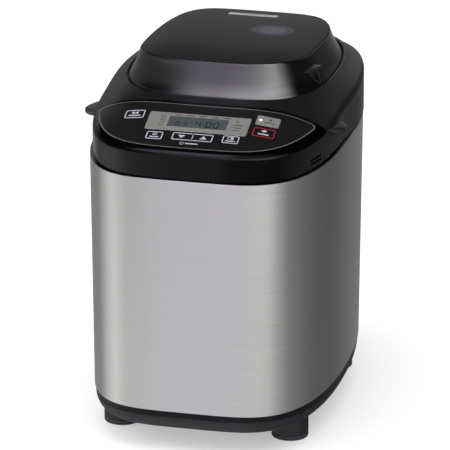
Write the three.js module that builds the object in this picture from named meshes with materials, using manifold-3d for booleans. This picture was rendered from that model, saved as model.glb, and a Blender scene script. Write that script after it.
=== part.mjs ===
// Countertop bread machine. Millimetres, +Z up, front towards -Y, resting on four feet at z = 0.
import * as THREE from 'three';
import { mergeVertices } from 'three/addons/utils/BufferGeometryUtils.js';
import Module from 'manifold-3d';

const wasm = await Module();
wasm.setup();

// Driving sizes of the body, seen from above: half width, front depth and rear depth, and how
// full the outline is across, ahead of its centre and behind it
const body = { half: 125, front: 160, rear: 200, centre: 0, across: 4.2, ahead: 2.25, behind: 2.25 };
const shellBottomShare = 0.98;
const bandShare = 0.98;
const sheet = 1;
const wall = 2.5;
const seat = 0.3;
const running = 0.3;
const overrun = 20;

// Heights of the outside, each standing on the one before
const footPad = 5;
const footEdge = 1.25;
const footBoss = 16.5;
const skirtHeight = 15.5;
const bandHeight = 6.5;
const shellHeight = 243;
const deckStep = 1.7;
const hoodHeight = 28.3;
const creaseRise = 14.4;
const crownRise = 14.8;
const domeRise = 38.8;
const trayBottom = footPad + footBoss;
const trayBandBottom = trayBottom + skirtHeight;
const shellBottom = trayBandBottom + bandHeight;
const shellTop = shellBottom + shellHeight;
const deckTop = shellTop + deckStep;
const creaseFront = shellTop + hoodHeight;
const creaseRear = creaseFront + creaseRise;
const deckEdge = creaseRear + crownRise;
const capCrest = deckEdge + domeRise;

// Base tray and feet
const trayBottomShare = 0.875;
const trayBandShare = 0.972;
const trayFloor = 3.5;
const trayLip = 8;
const footRadius = 18.5;
const footInset = { side: 38.5, front: 78.5, rear: 82 };
const trayVent = { count: 3, width: 4, length: 80, pitch: 16 };

// Dispenser dome on top of the lid, and the ridge where its skirt turns over into the cap
const domeInset = { side: 23.2, front: 86.5, rear: 31.5 };
const domeHalfDepth = (body.front + body.rear - domeInset.front - domeInset.rear) / 2;
const domeMiddle = body.rear - domeInset.rear - domeHalfDepth;
const domeSetback = 5;
const dome = {
  half: body.half - domeInset.side,
  front: domeHalfDepth - domeSetback,
  rear: domeHalfDepth,
  centre: domeMiddle,
  across: 3.6,
  ahead: 3,
  behind: 2.25
};
const ridgeInset = { side: 15.2, front: 6, rear: 10.6 };
const ridge = {
  half: dome.half - ridgeInset.side,
  front: dome.front - ridgeInset.front,
  rear: dome.rear - ridgeInset.rear,
  centre: domeMiddle,
  across: 3.9,
  ahead: 3.6,
  behind: 2.7
};
const deckRecess = 2.5;
const domeGap = 0.8;
const domeWall = 2.2;
const crestOffset = 55.4;
const capCrestY = domeMiddle - crestOffset;
const capRadius = { front: 315, rear: 749 };
const capSideDrop = 11.5;
const capSideExponent = 6.6;
const crownShare = 0.85;
const crownRingShares = [0.25, 0.5, 0.75];
const hiddenRingShares = [0.5];
const capRingShares = [0.9, 0.75, 0.4];

// The crease of the black top rises from the front to creaseRiseEnd
const creaseLevel = 90;
const creaseRiseEnd = body.rear - creaseLevel;

// The level top round the dome's seat, where the slopes of the black top end
const levelSpread = { side: 2.7, front: 5.8 };

// The lid spreads past the steel behind its grips
const lidSpreadShare = 0.0286;
const lidSpreadStart = -20;
const lidSpreadEnd = 70;

// Seam between the control panel and the lid, just in front of the dome
const seamGap = 0.8;
const seamStep = 1.5;
const seamBow = 9;
const seamLean = 0.357;
const seamAboveCrease = 5.2;
const seamSteps = 12;
const seamSpanShare = 1.5;
const seamCentreY = domeMiddle - domeHalfDepth - seamStep;
const seamSideY = seamCentreY + seamBow;
const seamHeight = creaseFront + seamAboveCrease;

// Upper housing
const sleeveDepth = 18.5;
const housingBottom = shellTop - sleeveDepth;
const deckThickness = 2.5;
const lidBase = deckTop + sheet;
const sideVent = { length: 21, height: 2.2, pitch: 4, inset: 71, rise: 3.8 };

// Control panel and display, set out from the front edge and by shares of the half width
const panelThickness = 2.5;
const displayShare = 0.816;
const lensShare = 0.464;
const displayInset = 48;
const display = { y: displayInset - body.front, width: displayShare * body.half, depth: 28.5, proud: 0.3 };
const lens = { width: lensShare * body.half, depth: 15.5, thickness: 1.4, proud: 0.1 };

// Keys, with their middles and widths as shares of the half width
const keyProud = 0.5;
const keyTravel = 1;
const keyDepth = 4;
const keyClearance = 0.35;
const keyCorner = 2;
const stemRadius = 2.5;
const menuKey = { xShare: -0.528, inset: 57, widthShare: 0.168, depth: 14 };
const sizeKey = { xShare: -0.304, inset: 25, widthShare: 0.14, depth: 13 };
const timerDownKey = { xShare: -0.088, inset: 26, widthShare: 0.164, depth: 13 };
const timerUpKey = { xShare: 0.088, inset: 26, widthShare: 0.164, depth: 13 };
const crustKey = { xShare: 0.304, inset: 27, widthShare: 0.14, depth: 13 };
const startKey = { xShare: 0.536, inset: 62, widthShare: 0.184, depth: 15 };
const stopKey = { xShare: 0.536, inset: 44, widthShare: 0.184, depth: 15 };
const keys = Object.entries({
  menu_button: menuKey,
  size_button: sizeKey,
  timer_down_button: timerDownKey,
  timer_up_button: timerUpKey,
  crust_button: crustKey,
  start_button: startKey,
  stop_button: stopKey
}).map(([name, key]) => ({
  name,
  x: key.xShare * body.half,
  y: key.inset - body.front,
  width: key.widthShare * body.half,
  depth: key.depth
}));

// Control board on posts under the panel
const boardDepth = 17;
const boardShare = 0.64;
const board = { half: boardShare * body.half, halfDepth: 24, thickness: 1.6 };
const switchSize = 7;
const switchHeight = 4;
const boardPost = { rearShare: 0.36, rearInset: 67, frontShare: 0.6, frontInset: 30 };

// Chassis plate, and the oven chamber on its posts
const chassisRise = 16.5;
const chassisInset = { side: 17, front: 22, rear: 32 };
const chassis = { bottom: shellBottom + chassisRise, thickness: 2, shaftHole: 15 };
const chassisTop = chassis.bottom + chassis.thickness;
const ovenInset = 39;
const ovenStand = 30;
const chamber = {
  halfX: body.half - ovenInset,
  halfY: 106,
  corner: 32,
  floor: chassisTop + ovenStand,
  top: deckTop - deckThickness - seat,
  flange: 6
};
const ovenY = body.rear - ovenInset - chamber.halfY;
const postInset = { side: 2, front: 96, rear: 82 };
const post = {
  radius: 5,
  x: chamber.halfX - postInset.side,
  frontY: postInset.front - body.front,
  rearY: body.rear - postInset.rear
};
const ovenPostInset = { side: 30, end: 44 };
const ovenPost = { x: chamber.halfX - ovenPostInset.side, y: chamber.halfY - ovenPostInset.end };

// Drive under the oven: shaft in its bearing, pulleys and belt
const shaftRadius = 5;
const shaftTail = 4;
const pulleyDrop = 1.5;
const bearing = { radius: 12, flange: 26, flangeHeight: 3, proud: 1.5 };
const bearingTop = chamber.floor + bearing.proud;
const pulleyFlange = 2;
const pulleyRim = 6;
const largePulley = { groove: 54, hub: 12, bottom: shellBottom - pulleyDrop, height: 12, web: 4 };
const smallPulley = { groove: 8, bottom: largePulley.bottom, height: largePulley.height };
const shaftBottom = largePulley.bottom - shaftTail;
const flangeHeight = 1.6;
const belt = { thickness: 2, width: 8 };

// Pan mount on the oven floor, and the flange of the pan that turns into its bayonet lugs
const mountRing = { inner: 34, bore: 43, outer: 50, ledge: 2.4, height: 13.7 };
const mountBottom = chamber.floor + sheet + seat;
const mountTop = mountBottom + mountRing.height;
const bayonet = { count: 4, span: 16, overlap: 6, thickness: 3.6, clearance: 0.4 };
const flangeRing = { inner: 33, outer: 37.5, rise: 9.7, web: 3.7, boss: 10, collar: 4.3 };
const flangeBottom = mountBottom + mountRing.ledge + seat;
const flangeTop = mountTop + flangeRing.rise;
const bossTop = flangeTop + flangeRing.collar;
const lugLength = 4;
const lugReach = flangeRing.outer + lugLength;

// Drive dog, the wing that it pushes and the blade above
const dogGap = 1.5;
const dog = { radius: 20, bottom: bearingTop + dogGap, thickness: 3, lug: 5.4, lugInner: 12, lugOuter: 19, lugSpan: 24 };
const dogTop = dog.bottom + dog.thickness + dog.lug;
const dogOffset = 42;
const wing = { half: 19, width: 8, bottom: dog.bottom + dog.thickness + 2 * running, height: 4.6 };
const wingTop = wing.bottom + wing.height;

// Bread pan and kneading blade
const panInset = { side: 20, end: 14, top: 17.4 };
const pan = {
  halfX: chamber.halfX - panInset.side,
  halfY: chamber.halfY - panInset.end,
  draft: 6,
  corner: 26,
  bottom: flangeTop + seat,
  top: chamber.top - panInset.top,
  wall: 1.5,
  rim: 3
};
const bladeInset = 14;
const blade = {
  hub: 11,
  bottom: bossTop + 2 * running,
  hubHeight: 21.4,
  cap: 3,
  reach: pan.halfX - bladeInset,
  thickness: 5,
  height: 26,
  clearance: 1
};
const bladeTop = blade.bottom + blade.hubHeight;

// Heating element and temperature sensor
const heaterRise = 36;
const heater = {
  radius: 3.2, height: chamber.floor + heaterRise, gap: 7, corner: 28, terminalX: 16, terminalReach: 22, bend: 5
};
const sensorDrop = 85.4;
const sensor = {
  radius: 4, flange: 8, height: chamber.top - sensorDrop, inside: 4, outside: 14, flangeThickness: 3
};

// Pan handle in its ears
const pivotDrop = 12;
const bailSpread = 7.6;
const bail = {
  radius: 2.5, pivotZ: pan.top - pivotDrop, length: 62, offset: pan.halfX + bailSpread, corner: 15, hook: 3, rest: 15
};
const ear = { width: 16, height: 17, reach: 3 };

// Motor, capacitor and power board, spread over the width in front of the oven
const motorInset = 60;
const motor = {
  xShare: -0.36, halfShare: 0.272, y: motorInset - body.front, stand: 12, stack: 40, bellShare: 0.232, bellHeight: 10
};
const motorX = motor.xShare * body.half;
const motorHalf = motor.halfShare * body.half;
const motorBell = motor.bellShare * body.half;
const stackBottom = chassisTop + motor.stand;
const stackTop = stackBottom + motor.stack;
const rotorRadius = 3;
const capacitor = { xShare: 0.224, radiusShare: 0.12, inset: 42, height: 48 };
const boardInset = 68;
const powerBoard = { xShare: 0.544, halfShare: 0.192, y: boardInset - body.front, halfY: 24, stand: 12, thickness: 1.6 };
const transformer = { xShare: -0.5, yShare: -0.4, half: 9.5, height: 24 };
const heatSink = { xShare: 0.5, yShare: -0.5, half: 7, height: 16 };
const relay = { xShare: 0.5, yShare: 0.4, half: 7, height: 8 };

// Rear cover with the lid hinge and the cord gland
const coverShare = 0.6;
const coverReach = 28;
const coverDrop = 3.5;
const rearCover = {
  half: coverShare * body.half,
  rear: body.rear + coverReach,
  bottom: chassisTop,
  top: shellTop - coverDrop,
  vents: 6,
  ventPitch: 10,
  ventHeight: 4,
  ventShare: 0.65
};
const hingeShare = 0.4;
const hingeBehind = 4;
const hingeRise = 2.8;
const hinge = {
  y: body.rear + hingeBehind, z: lidBase + hingeRise, barrel: 5, pin: 2, lug: 6, knuckle: 19, x: hingeShare * body.half
};
const glandInset = { rear: 14, bottom: 28 };
const gland = {
  radius: 7,
  flange: 10,
  bore: 4,
  y: rearCover.rear - glandInset.rear,
  z: rearCover.bottom + glandInset.bottom,
  reach: 8,
  inside: 6,
  lip: 2
};

// Lid lining, and the hoppers with their sizes across as shares of the half width
const liningRise = 4.8;
const lining = { bottom: lidBase + liningRise, thickness: 1.5, clearance: 0.4 };
const seal = { inset: 2, width: 6 };
const hopperWall = 1.5;
const hopperDrop = 1.7;
const hopperBottom = lining.bottom - hopperDrop;
const hopperFlange = { reach: 4, thickness: 1.5 };
const raisinShare = { x: -0.24, half: 0.336, throat: 0.2 };
const raisin = {
  x: raisinShare.x * body.half,
  y: domeMiddle,
  halfX: raisinShare.half * body.half,
  halfY: 41,
  throatX: raisinShare.throat * body.half,
  throatY: 27,
  corner: 6,
  side: -1
};
const yeastShare = { x: 0.368, half: 0.128, throat: 0.096 };
const yeastOffset = 17.5;
const yeast = {
  x: yeastShare.x * body.half,
  y: domeMiddle - yeastOffset,
  halfX: yeastShare.half * body.half,
  halfY: 16,
  throatX: yeastShare.throat * body.half,
  throatY: 12,
  corner: 4,
  side: 1
};
const flap = { thickness: 2, lap: 1, barrel: 1.5, trunnion: 1, lug: 3, outset: 3.5, clearance: 0.4 };
const solenoidOffset = 44.5;
const solenoid = {
  x: yeast.x,
  y: domeMiddle + solenoidOffset,
  halfX: yeastShare.throat * body.half,
  halfY: 17,
  height: 22,
  plunger: 3.5,
  plungerReach: 10
};

// Grips of the lid, hinge of the dispenser lid, finger tab and steam vent
const gripBehind = 31;
const gripRise = 0.7;
const grip = {
  y: seamCentreY + gripBehind, z: creaseFront + gripRise, halfLength: 16, halfHeight: 6.6, reach: 13.5, bite: 4
};
const domeHingeBehind = 4;
const domeHingeRise = 3.6;
const domeHinge = {
  y: domeMiddle + domeHalfDepth + domeHingeBehind,
  z: deckEdge + domeHingeRise,
  barrel: 3.2,
  pin: 1.5,
  half: 15,
  lug: 5
};
const tabOffset = 56.5;
const tabRise = 16;
const tab = {
  y: domeMiddle - tabOffset,
  z: deckEdge + tabRise,
  turn: 12,
  width: 23,
  plate: 2.6,
  reachFront: 1,
  reachRear: 6,
  block: 8,
  recess: 5,
  height: 16,
  scoopShare: 0.25
};
const ventShare = 0.408;
const ventOffset = 68.5;
const steamVent = {
  y: domeMiddle + ventOffset,
  width: ventShare * body.half,
  depth: 12,
  corner: 3,
  thickness: 3,
  slots: 3,
  slotWidth: 2
};

// Facets
const planSides = 40;
const hiddenPlanSides = 20;
const cornerSides = 4;
const roundSides = 20;
const smallSides = 12;
const wireSides = 8;

// Finishes
const steel = new THREE.MeshStandardMaterial({ color: 0xb4b4b2, roughness: 0.35, metalness: 1 });
const darkSteel = new THREE.MeshStandardMaterial({ color: 0x6d6f72, roughness: 0.5, metalness: 0.9 });
const aluminium = new THREE.MeshStandardMaterial({ color: 0xc2c4c6, roughness: 0.45, metalness: 1 });
const brass = new THREE.MeshStandardMaterial({ color: 0xb89a55, roughness: 0.35, metalness: 1 });
const coated = new THREE.MeshStandardMaterial({ color: 0x2b2b2d, roughness: 0.6, metalness: 0.2 });
const glossBlack = new THREE.MeshStandardMaterial({ color: 0x0b0b0d, roughness: 0.12 });
const satinBlack = new THREE.MeshStandardMaterial({ color: 0x161617, roughness: 0.4 });
const mattBlack = new THREE.MeshStandardMaterial({ color: 0x2c2c2c, roughness: 0.7 });
const slate = new THREE.MeshStandardMaterial({ color: 0x2e2e33, roughness: 0.55 });
const rubber = new THREE.MeshStandardMaterial({ color: 0x3a3d40, roughness: 0.9 });
const silver = new THREE.MeshStandardMaterial({ color: 0x9a9894, roughness: 0.4, metalness: 0.6 });
const displayGlass = new THREE.MeshStandardMaterial({ color: 0x46525c, roughness: 0.1 });
const circuit = new THREE.MeshStandardMaterial({ color: 0x1d5a36, roughness: 0.6 });
const paleGrey = new THREE.MeshStandardMaterial({ color: 0xb9b9b6, roughness: 0.6 });
const silicone = new THREE.MeshStandardMaterial({ color: 0x77716c, roughness: 0.85 });

// Turns a closed geometry into a solid for cutting and joining
function solid(geometry) {
  const bare = geometry.clone();
  bare.deleteAttribute('normal');
  bare.deleteAttribute('uv');
  const merged = mergeVertices(bare);
  const triVerts = Uint32Array.from(merged.index.array);
  return new wasm.Manifold(new wasm.Mesh({ numProp: 3, vertProperties: merged.attributes.position.array, triVerts }));
}

function surface(manifold) {
  const mesh = manifold.getMesh();
  const geometry = new THREE.BufferGeometry();
  geometry.setAttribute('position', new THREE.BufferAttribute(mesh.vertProperties, 3));
  geometry.setIndex(new THREE.BufferAttribute(mesh.triVerts, 1));
  geometry.computeVertexNormals();
  return geometry;
}

function joined(first, ...others) {
  return surface(others.reduce((sum, other) => sum.add(solid(other)), solid(first)));
}

function cut(first, ...tools) {
  return surface(tools.reduce((rest, tool) => rest.subtract(solid(tool)), solid(first)));
}

function common(first, other) {
  return surface(solid(first).intersect(solid(other)));
}

// Faces point outwards whichever way a profile or a ring was drawn
function outward(geometry) {
  const index = geometry.index.array;
  const position = geometry.attributes.position;
  const [a, b, c] = [new THREE.Vector3(), new THREE.Vector3(), new THREE.Vector3()];
  let volume = 0;
  for (let i = 0; i < index.length; i += 3) {
    a.fromBufferAttribute(position, index[i]);
    b.fromBufferAttribute(position, index[i + 1]);
    c.fromBufferAttribute(position, index[i + 2]);
    volume += a.dot(b.cross(c));
  }
  if (volume < 0) {
    index.reverse();
  }
  return geometry;
}

// Upright shape basics
function block(x0, x1, y0, y1, z0, z1) {
  const box = new THREE.BoxGeometry(x1 - x0, y1 - y0, z1 - z0);
  return box.translate((x0 + x1) / 2, (y0 + y1) / 2, (z0 + z1) / 2);
}

function cylinder(radius, z0, z1, x, y, sides = roundSides) {
  const rod = new THREE.CylinderGeometry(radius, radius, z1 - z0, sides);
  return rod.rotateX(Math.PI / 2).translate(x, y, (z0 + z1) / 2);
}

function crossRod(radius, x0, x1, y, z, sides = smallSides) {
  const rod = new THREE.CylinderGeometry(radius, radius, x1 - x0, sides);
  return rod.rotateZ(Math.PI / 2).translate((x0 + x1) / 2, y, z);
}

function deepRod(radius, y0, y1, x, z, sides = smallSides) {
  return new THREE.CylinderGeometry(radius, radius, y1 - y0, sides).translate(x, (y0 + y1) / 2, z);
}

function turned(profile, x, y, sides = roundSides) {
  const points = profile.map(([radius, height]) => new THREE.Vector2(radius, height));
  const round = new THREE.LatheGeometry(points, sides);
  return outward(round.rotateX(Math.PI / 2)).translate(x, y, 0);
}

function sector(inner, outer, startDegrees, endDegrees, z0, z1) {
  const start = THREE.MathUtils.degToRad(startDegrees);
  const end = THREE.MathUtils.degToRad(endDegrees);
  const shape = new THREE.Shape();
  shape.absarc(0, 0, outer, start, end, false);
  shape.absarc(0, 0, inner, end, start, true);
  const lug = new THREE.ExtrudeGeometry(shape, { depth: z1 - z0, bevelEnabled: false, curveSegments: 4 });
  return lug.translate(0, 0, z0);
}

// Quarter bend of a wire from (x, y + rise) to (x + run, y), and the wire along such points
function bend(x, y, run, rise) {
  return [0, 1, 2, 3].map((step) => {
    const angle = (step * Math.PI) / 6;
    return [x + run * (1 - Math.cos(angle)), y + rise * (1 - Math.sin(angle))];
  });
}

function wire(path, radius) {
  const places = path.map(([x, y]) => new THREE.Vector2(x, y));
  return loft(places.map((place, i) => {
    const before = place.clone().sub(places[Math.max(i - 1, 0)]).normalize();
    const after = places[Math.min(i + 1, places.length - 1)].clone().sub(place).normalize();
    const along = before.clone().add(after).normalize();
    const mitre = i === 0 || i === places.length - 1 ? 1 : 1 / along.dot(before);
    return Array.from({ length: wireSides }, (unused, step) => {
      const angle = (2 * Math.PI * step) / wireSides;
      const across = radius * mitre * Math.cos(angle);
      return new THREE.Vector3(place.x + along.y * across, place.y - along.x * across, radius * Math.sin(angle));
    });
  }));
}

// Outlines seen from above, as rings of points
function grown(outline, amount) {
  const { half, front, rear } = outline;
  return { ...outline, half: half + amount, front: front + amount, rear: rear + amount };
}

function scaled(outline, share) {
  const { half, front, rear } = outline;
  return { ...outline, half: half * share, front: front * share, rear: rear * share };
}

// Depth and fullness of an outline on the side of its centre where along lies
function lengthwise(outline, along) {
  return along < 0 ? [outline.front, outline.ahead] : [outline.rear, outline.behind];
}

function halfWidthAt(outline, y) {
  const [depth, exponent] = lengthwise(outline, y - outline.centre);
  const left = 1 - Math.abs((y - outline.centre) / depth) ** exponent;
  return outline.half * left ** (1 / outline.across);
}

function bowed(outline, height, sides = planSides) {
  return Array.from({ length: sides }, (unused, i) => {
    const angle = (2 * Math.PI * i) / sides;
    const across = Math.cos(angle);
    const along = Math.sin(angle);
    const [depth, exponent] = lengthwise(outline, along);
    const x = outline.half * Math.sign(across) * Math.abs(across) ** (2 / outline.across);
    const y = outline.centre + depth * Math.sign(along) * Math.abs(along) ** (2 / exponent);
    return new THREE.Vector3(x, y, typeof height === 'function' ? height(x, y) : height);
  });
}

function rounded(x, y, halfX, halfY, corner, z) {
  const ring = [];
  for (let quarter = 0; quarter < 4; quarter += 1) {
    const right = quarter === 0 || quarter === 3 ? 1 : -1;
    const back = quarter < 2 ? 1 : -1;
    for (let step = 0; step <= cornerSides; step += 1) {
      const angle = (Math.PI / 2) * (quarter + step / cornerSides);
      const px = x + right * (halfX - corner) + corner * Math.cos(angle);
      const py = y + back * (halfY - corner) + corner * Math.sin(angle);
      ring.push(new THREE.Vector3(px, py, z));
    }
  }
  return ring;
}

// Skin over a row of rings: capped at both ends, or endless for a hollow wall
function loft(rings, endless = false) {
  const count = rings[0].length;
  const points = rings.flat();
  const index = [];
  const bands = endless ? rings.length : rings.length - 1;
  for (let band = 0; band < bands; band += 1) {
    const low = band * count;
    const high = ((band + 1) % rings.length) * count;
    for (let i = 0; i < count; i += 1) {
      const next = (i + 1) % count;
      index.push(low + i, low + next, high + next, low + i, high + next, high + i);
    }
  }
  if (!endless) {
    const last = (rings.length - 1) * count;
    for (const [start, turn] of [[0, 1], [last, 0]]) {
      const middle = new THREE.Vector3();
      for (let i = 0; i < count; i += 1) {
        middle.addScaledVector(points[start + i], 1 / count);
      }
      points.push(middle);
      for (let i = 0; i < count; i += 1) {
        const pair = [start + i, start + ((i + 1) % count)];
        index.push(points.length - 1, pair[turn], pair[1 - turn]);
      }
    }
  }
  const geometry = new THREE.BufferGeometry();
  geometry.setAttribute('position', new THREE.Float32BufferAttribute(points.flatMap((p) => [p.x, p.y, p.z]), 3));
  geometry.setIndex(index);
  return outward(geometry);
}

// Height of the black top: low at the crease, rising to the edge of the dome's recess
const topOutline = scaled(body, bandShare);
const recessOutline = grown(dome, domeGap);
const levelOutline = {
  ...body,
  half: dome.half + levelSpread.side,
  front: dome.front + levelSpread.front,
  rear: dome.rear + domeGap,
  centre: dome.centre
};

function outlineDistance(outline, x, y) {
  const [depth, exponent] = lengthwise(outline, y - outline.centre);
  const across = Math.abs(x / outline.half) ** outline.across;
  const along = Math.abs((y - outline.centre) / depth) ** exponent;
  return (across + along) ** (1 / exponent);
}

function lidSpread(y) {
  return 1 + lidSpreadShare * THREE.MathUtils.smoothstep(y, lidSpreadStart, lidSpreadEnd);
}

function spreadRing(ring) {
  return ring.map((point) => new THREE.Vector3(point.x * lidSpread(point.y), point.y, point.z));
}

function creaseHeight(y) {
  const rise = THREE.MathUtils.smoothstep(y, -topOutline.front, creaseRiseEnd);
  return creaseFront + (creaseRear - creaseFront) * rise;
}

function topHeight(x, y) {
  const inside = Math.max(1 - outlineDistance(topOutline, x / lidSpread(y), y), 0);
  const outside = Math.max(outlineDistance(levelOutline, x, y) - 1, 0);
  const share = inside === 0 ? 0 : inside / (inside + outside);
  const low = creaseHeight(y);
  return low + (deckEdge - low) * share ** crownShare;
}

function capHeight(x, y) {
  const radius = y < capCrestY ? capRadius.front : capRadius.rear;
  const sideDrop = capSideDrop * Math.abs(x / ridge.half) ** capSideExponent;
  return capCrest - (y - capCrestY) ** 2 / (2 * radius) - sideDrop;
}

// Block of the black top, cut inwards by inset and lowered by sink, from a flat base
function crown(inset, sink, base, ringShares = crownRingShares) {
  const outline = spreadRing(bowed(grown(topOutline, -inset), base));
  const outer = outline.map(({ x, y }) => new THREE.Vector3(x, y, topHeight(x, y) - sink));
  const inner = bowed(grown(levelOutline, inset), deckEdge - sink);
  const rings = [outline, outer];
  for (const share of ringShares) {
    rings.push(outer.map((point, i) => {
      const between = point.clone().lerp(inner[i], share);
      between.z = topHeight(between.x, between.y) - sink;
      return between;
    }));
  }
  rings.push(inner);
  rings.push(bowed(grown(recessOutline, inset), deckEdge - sink));
  rings.push(bowed(grown(recessOutline, inset), deckEdge - deckRecess - sink));
  return loft(rings);
}

// Everything behind the leaning seam, moved back by offset
function behindSeam(offset) {
  const far = body.rear + body.front;
  const bottom = housingBottom - overrun;
  const shape = new THREE.Shape();
  for (let i = 0; i <= seamSteps; i += 1) {
    const x = seamSpanShare * body.half * ((2 * i) / seamSteps - 1);
    const y = seamCentreY + (seamSideY - seamCentreY) * (x / topOutline.half) ** 2 + offset;
    shape[i === 0 ? 'moveTo' : 'lineTo'](x, y);
  }
  shape.lineTo(far, far);
  shape.lineTo(-far, far);
  const height = capCrest - bottom + overrun;
  const prism = new THREE.ExtrudeGeometry(shape, { depth: height, bevelEnabled: false });
  const position = prism.attributes.position;
  for (let i = 0; i < position.count; i += 1) {
    const z = position.getZ(i) + bottom;
    position.setZ(i, z);
    position.setY(i, position.getY(i) + seamLean * (seamHeight - z));
  }
  return prism;
}

// Prism square to the control panel, standing on its surface at (x, y)
const panelTilt = Math.atan2(
  deckEdge - creaseFront,
  topOutline.front + levelOutline.centre - levelOutline.front
);

function tilted(geometry, x, y) {
  return geometry.rotateX(panelTilt).translate(x, y, topHeight(x, y));
}

function keyPrism(x, y, width, depth, corner, low, high) {
  const shape = new THREE.Shape();
  const right = width / 2 - corner;
  const back = depth / 2 - corner;
  shape.absarc(right, back, corner, 0, Math.PI / 2);
  shape.absarc(-right, back, corner, Math.PI / 2, Math.PI);
  shape.absarc(-right, -back, corner, Math.PI, Math.PI * 1.5);
  shape.absarc(right, -back, corner, Math.PI * 1.5, Math.PI * 2);
  const options = { depth: high - low, bevelEnabled: false, curveSegments: 2 };
  return tilted(new THREE.ExtrudeGeometry(shape, options).translate(0, 0, low), x, y);
}

// How far the panel surface at (x, y) lies above the control board
function aboveBoard(x, y) {
  const plane = topHeight(0, display.y) + Math.tan(panelTilt) * (y - display.y);
  return boardDepth + (topHeight(x, y) - plane) * Math.cos(panelTilt);
}

const machine = new THREE.Group();
machine.name = 'bread_machine';
machine.position.y = (body.front - rearCover.rear) / 2;

function part(name, geometry, material) {
  const mesh = new THREE.Mesh(geometry, material);
  mesh.name = name;
  machine.add(mesh);
}

// Steel wrap, open at the top and the bottom
const shellFoot = scaled(body, shellBottomShare);
part('steel_shell', loft([
  bowed(shellFoot, shellBottom),
  bowed(body, shellTop),
  bowed(grown(body, -sheet), shellTop),
  bowed(grown(shellFoot, -sheet), shellBottom)
], true), steel);

// Base tray: curved skirt, dark band, lip inside the steel, foot bosses, chassis posts
const bandTop = shellBottom - seat;
const lipOutline = grown(shellFoot, -sheet - seat);
const skirtShares = [0, 0.35, 0.7, 1];
const skirtRings = skirtShares.map((share) => {
  const angle = (share * Math.PI) / 2;
  const spread = trayBottomShare + (trayBandShare - trayBottomShare) * Math.sin(angle);
  const z = trayBottom + (trayBandBottom - trayBottom) * (1 - Math.cos(angle));
  return bowed(scaled(body, spread), z);
});
const trayCup = loft([
  ...skirtRings,
  bowed(scaled(body, trayBandShare), bandTop),
  bowed(lipOutline, bandTop),
  bowed(lipOutline, bandTop + trayLip),
  bowed(grown(lipOutline, -wall), bandTop + trayLip),
  bowed(grown(scaled(body, trayBandShare), -wall - sheet), trayBandBottom),
  bowed(grown(scaled(body, trayBottomShare), -wall), trayBottom + trayFloor)
]);
const footX = body.half - footInset.side;
const footFrontY = footInset.front - body.front;
const footRearY = body.rear - footInset.rear;
const footPlaces = {
  front_left: [-footX, footFrontY],
  front_right: [footX, footFrontY],
  rear_left: [-footX, footRearY],
  rear_right: [footX, footRearY]
};
const bosses = Object.values(footPlaces).map(([x, y]) => (
  cylinder(footRadius, footPad, trayBottom + trayFloor, x, y)
));
const postPlaces = [post.frontY, post.rearY].flatMap((y) => [[-post.x, y], [post.x, y]]);
const posts = postPlaces.map(([x, y]) => (
  cylinder(post.radius, trayBottom + trayFloor / 2, chassis.bottom, x, y, smallSides)
));
const floorVents = Array.from({ length: trayVent.count }, (unused, i) => {
  const y = ovenY + (i - (trayVent.count - 1) / 2) * trayVent.pitch;
  const halfLength = trayVent.length / 2;
  const halfWidth = trayVent.width / 2;
  return block(-halfLength, halfLength, y - halfWidth, y + halfWidth, trayBottom - overrun, shaftBottom);
});
part('base_tray', cut(joined(trayCup, ...bosses, ...posts), ...floorVents), slate);
for (const [name, [x, y]] of Object.entries(footPlaces)) {
  const rim = [[footRadius - footEdge, 0], [footRadius, footEdge], [footRadius, footPad]];
  const pad = turned([[0, 0], ...rim, [0, footPad]], x, y);
  part(`foot_${name}`, pad, rubber);
}

// Upper housing: sleeve in the steel, deck round the oven, front hood with a bulkhead
const bodyAt = (z) => {
  const share = (z - shellBottom) / (shellTop - shellBottom);
  return scaled(body, shellBottomShare + (1 - shellBottomShare) * share);
};
const sleeveAt = (z) => bowed(grown(bodyAt(z), -sheet - seat), z);
const hoodTop = crown(0, panelThickness + seat, deckTop - deckThickness, hiddenRingShares);
const hood = cut(hoodTop, behindSeam(-seamGap / 2));
const sleeveBlock = loft([
  sleeveAt(housingBottom),
  sleeveAt(shellTop - seat),
  bowed(topOutline, shellTop),
  bowed(topOutline, deckTop)
]);
const sleeveCavity = loft([
  bowed(grown(topOutline, -wall), housingBottom - overrun),
  bowed(grown(topOutline, -wall), deckTop - deckThickness)
]);
const hoodCavity = cut(
  loft([
    bowed(grown(topOutline, -wall), housingBottom),
    bowed(grown(topOutline, -wall), capCrest)
  ]),
  behindSeam(-seamGap / 2 - wall)
);
const ovenMouth = loft([
  rounded(0, ovenY, chamber.halfX, chamber.halfY, chamber.corner, housingBottom),
  rounded(0, ovenY, chamber.halfX, chamber.halfY, chamber.corner, deckTop + overrun)
]);
const wallAt = (y) => halfWidthAt(topOutline, y);
const ventHalf = sideVent.length / 2;
const sideVentY = sideVent.inset - body.front;
const sideVentBottom = deckTop + sideVent.rise;
const ventSpread = wallAt(sideVentY + ventHalf) - wallAt(sideVentY - ventHalf);
const ventTurn = -Math.atan(ventSpread / sideVent.length);
const sideVents = [0, 1].map((i) => {
  const slot = block(-overrun / 2, overrun / 2, -ventHalf, ventHalf, 0, sideVent.height);
  return slot.rotateZ(ventTurn).translate(wallAt(sideVentY), sideVentY, sideVentBottom + i * sideVent.pitch);
});
part('top_housing', cut(joined(sleeveBlock, hood), sleeveCavity, hoodCavity, ovenMouth, ...sideVents), glossBlack);

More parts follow.
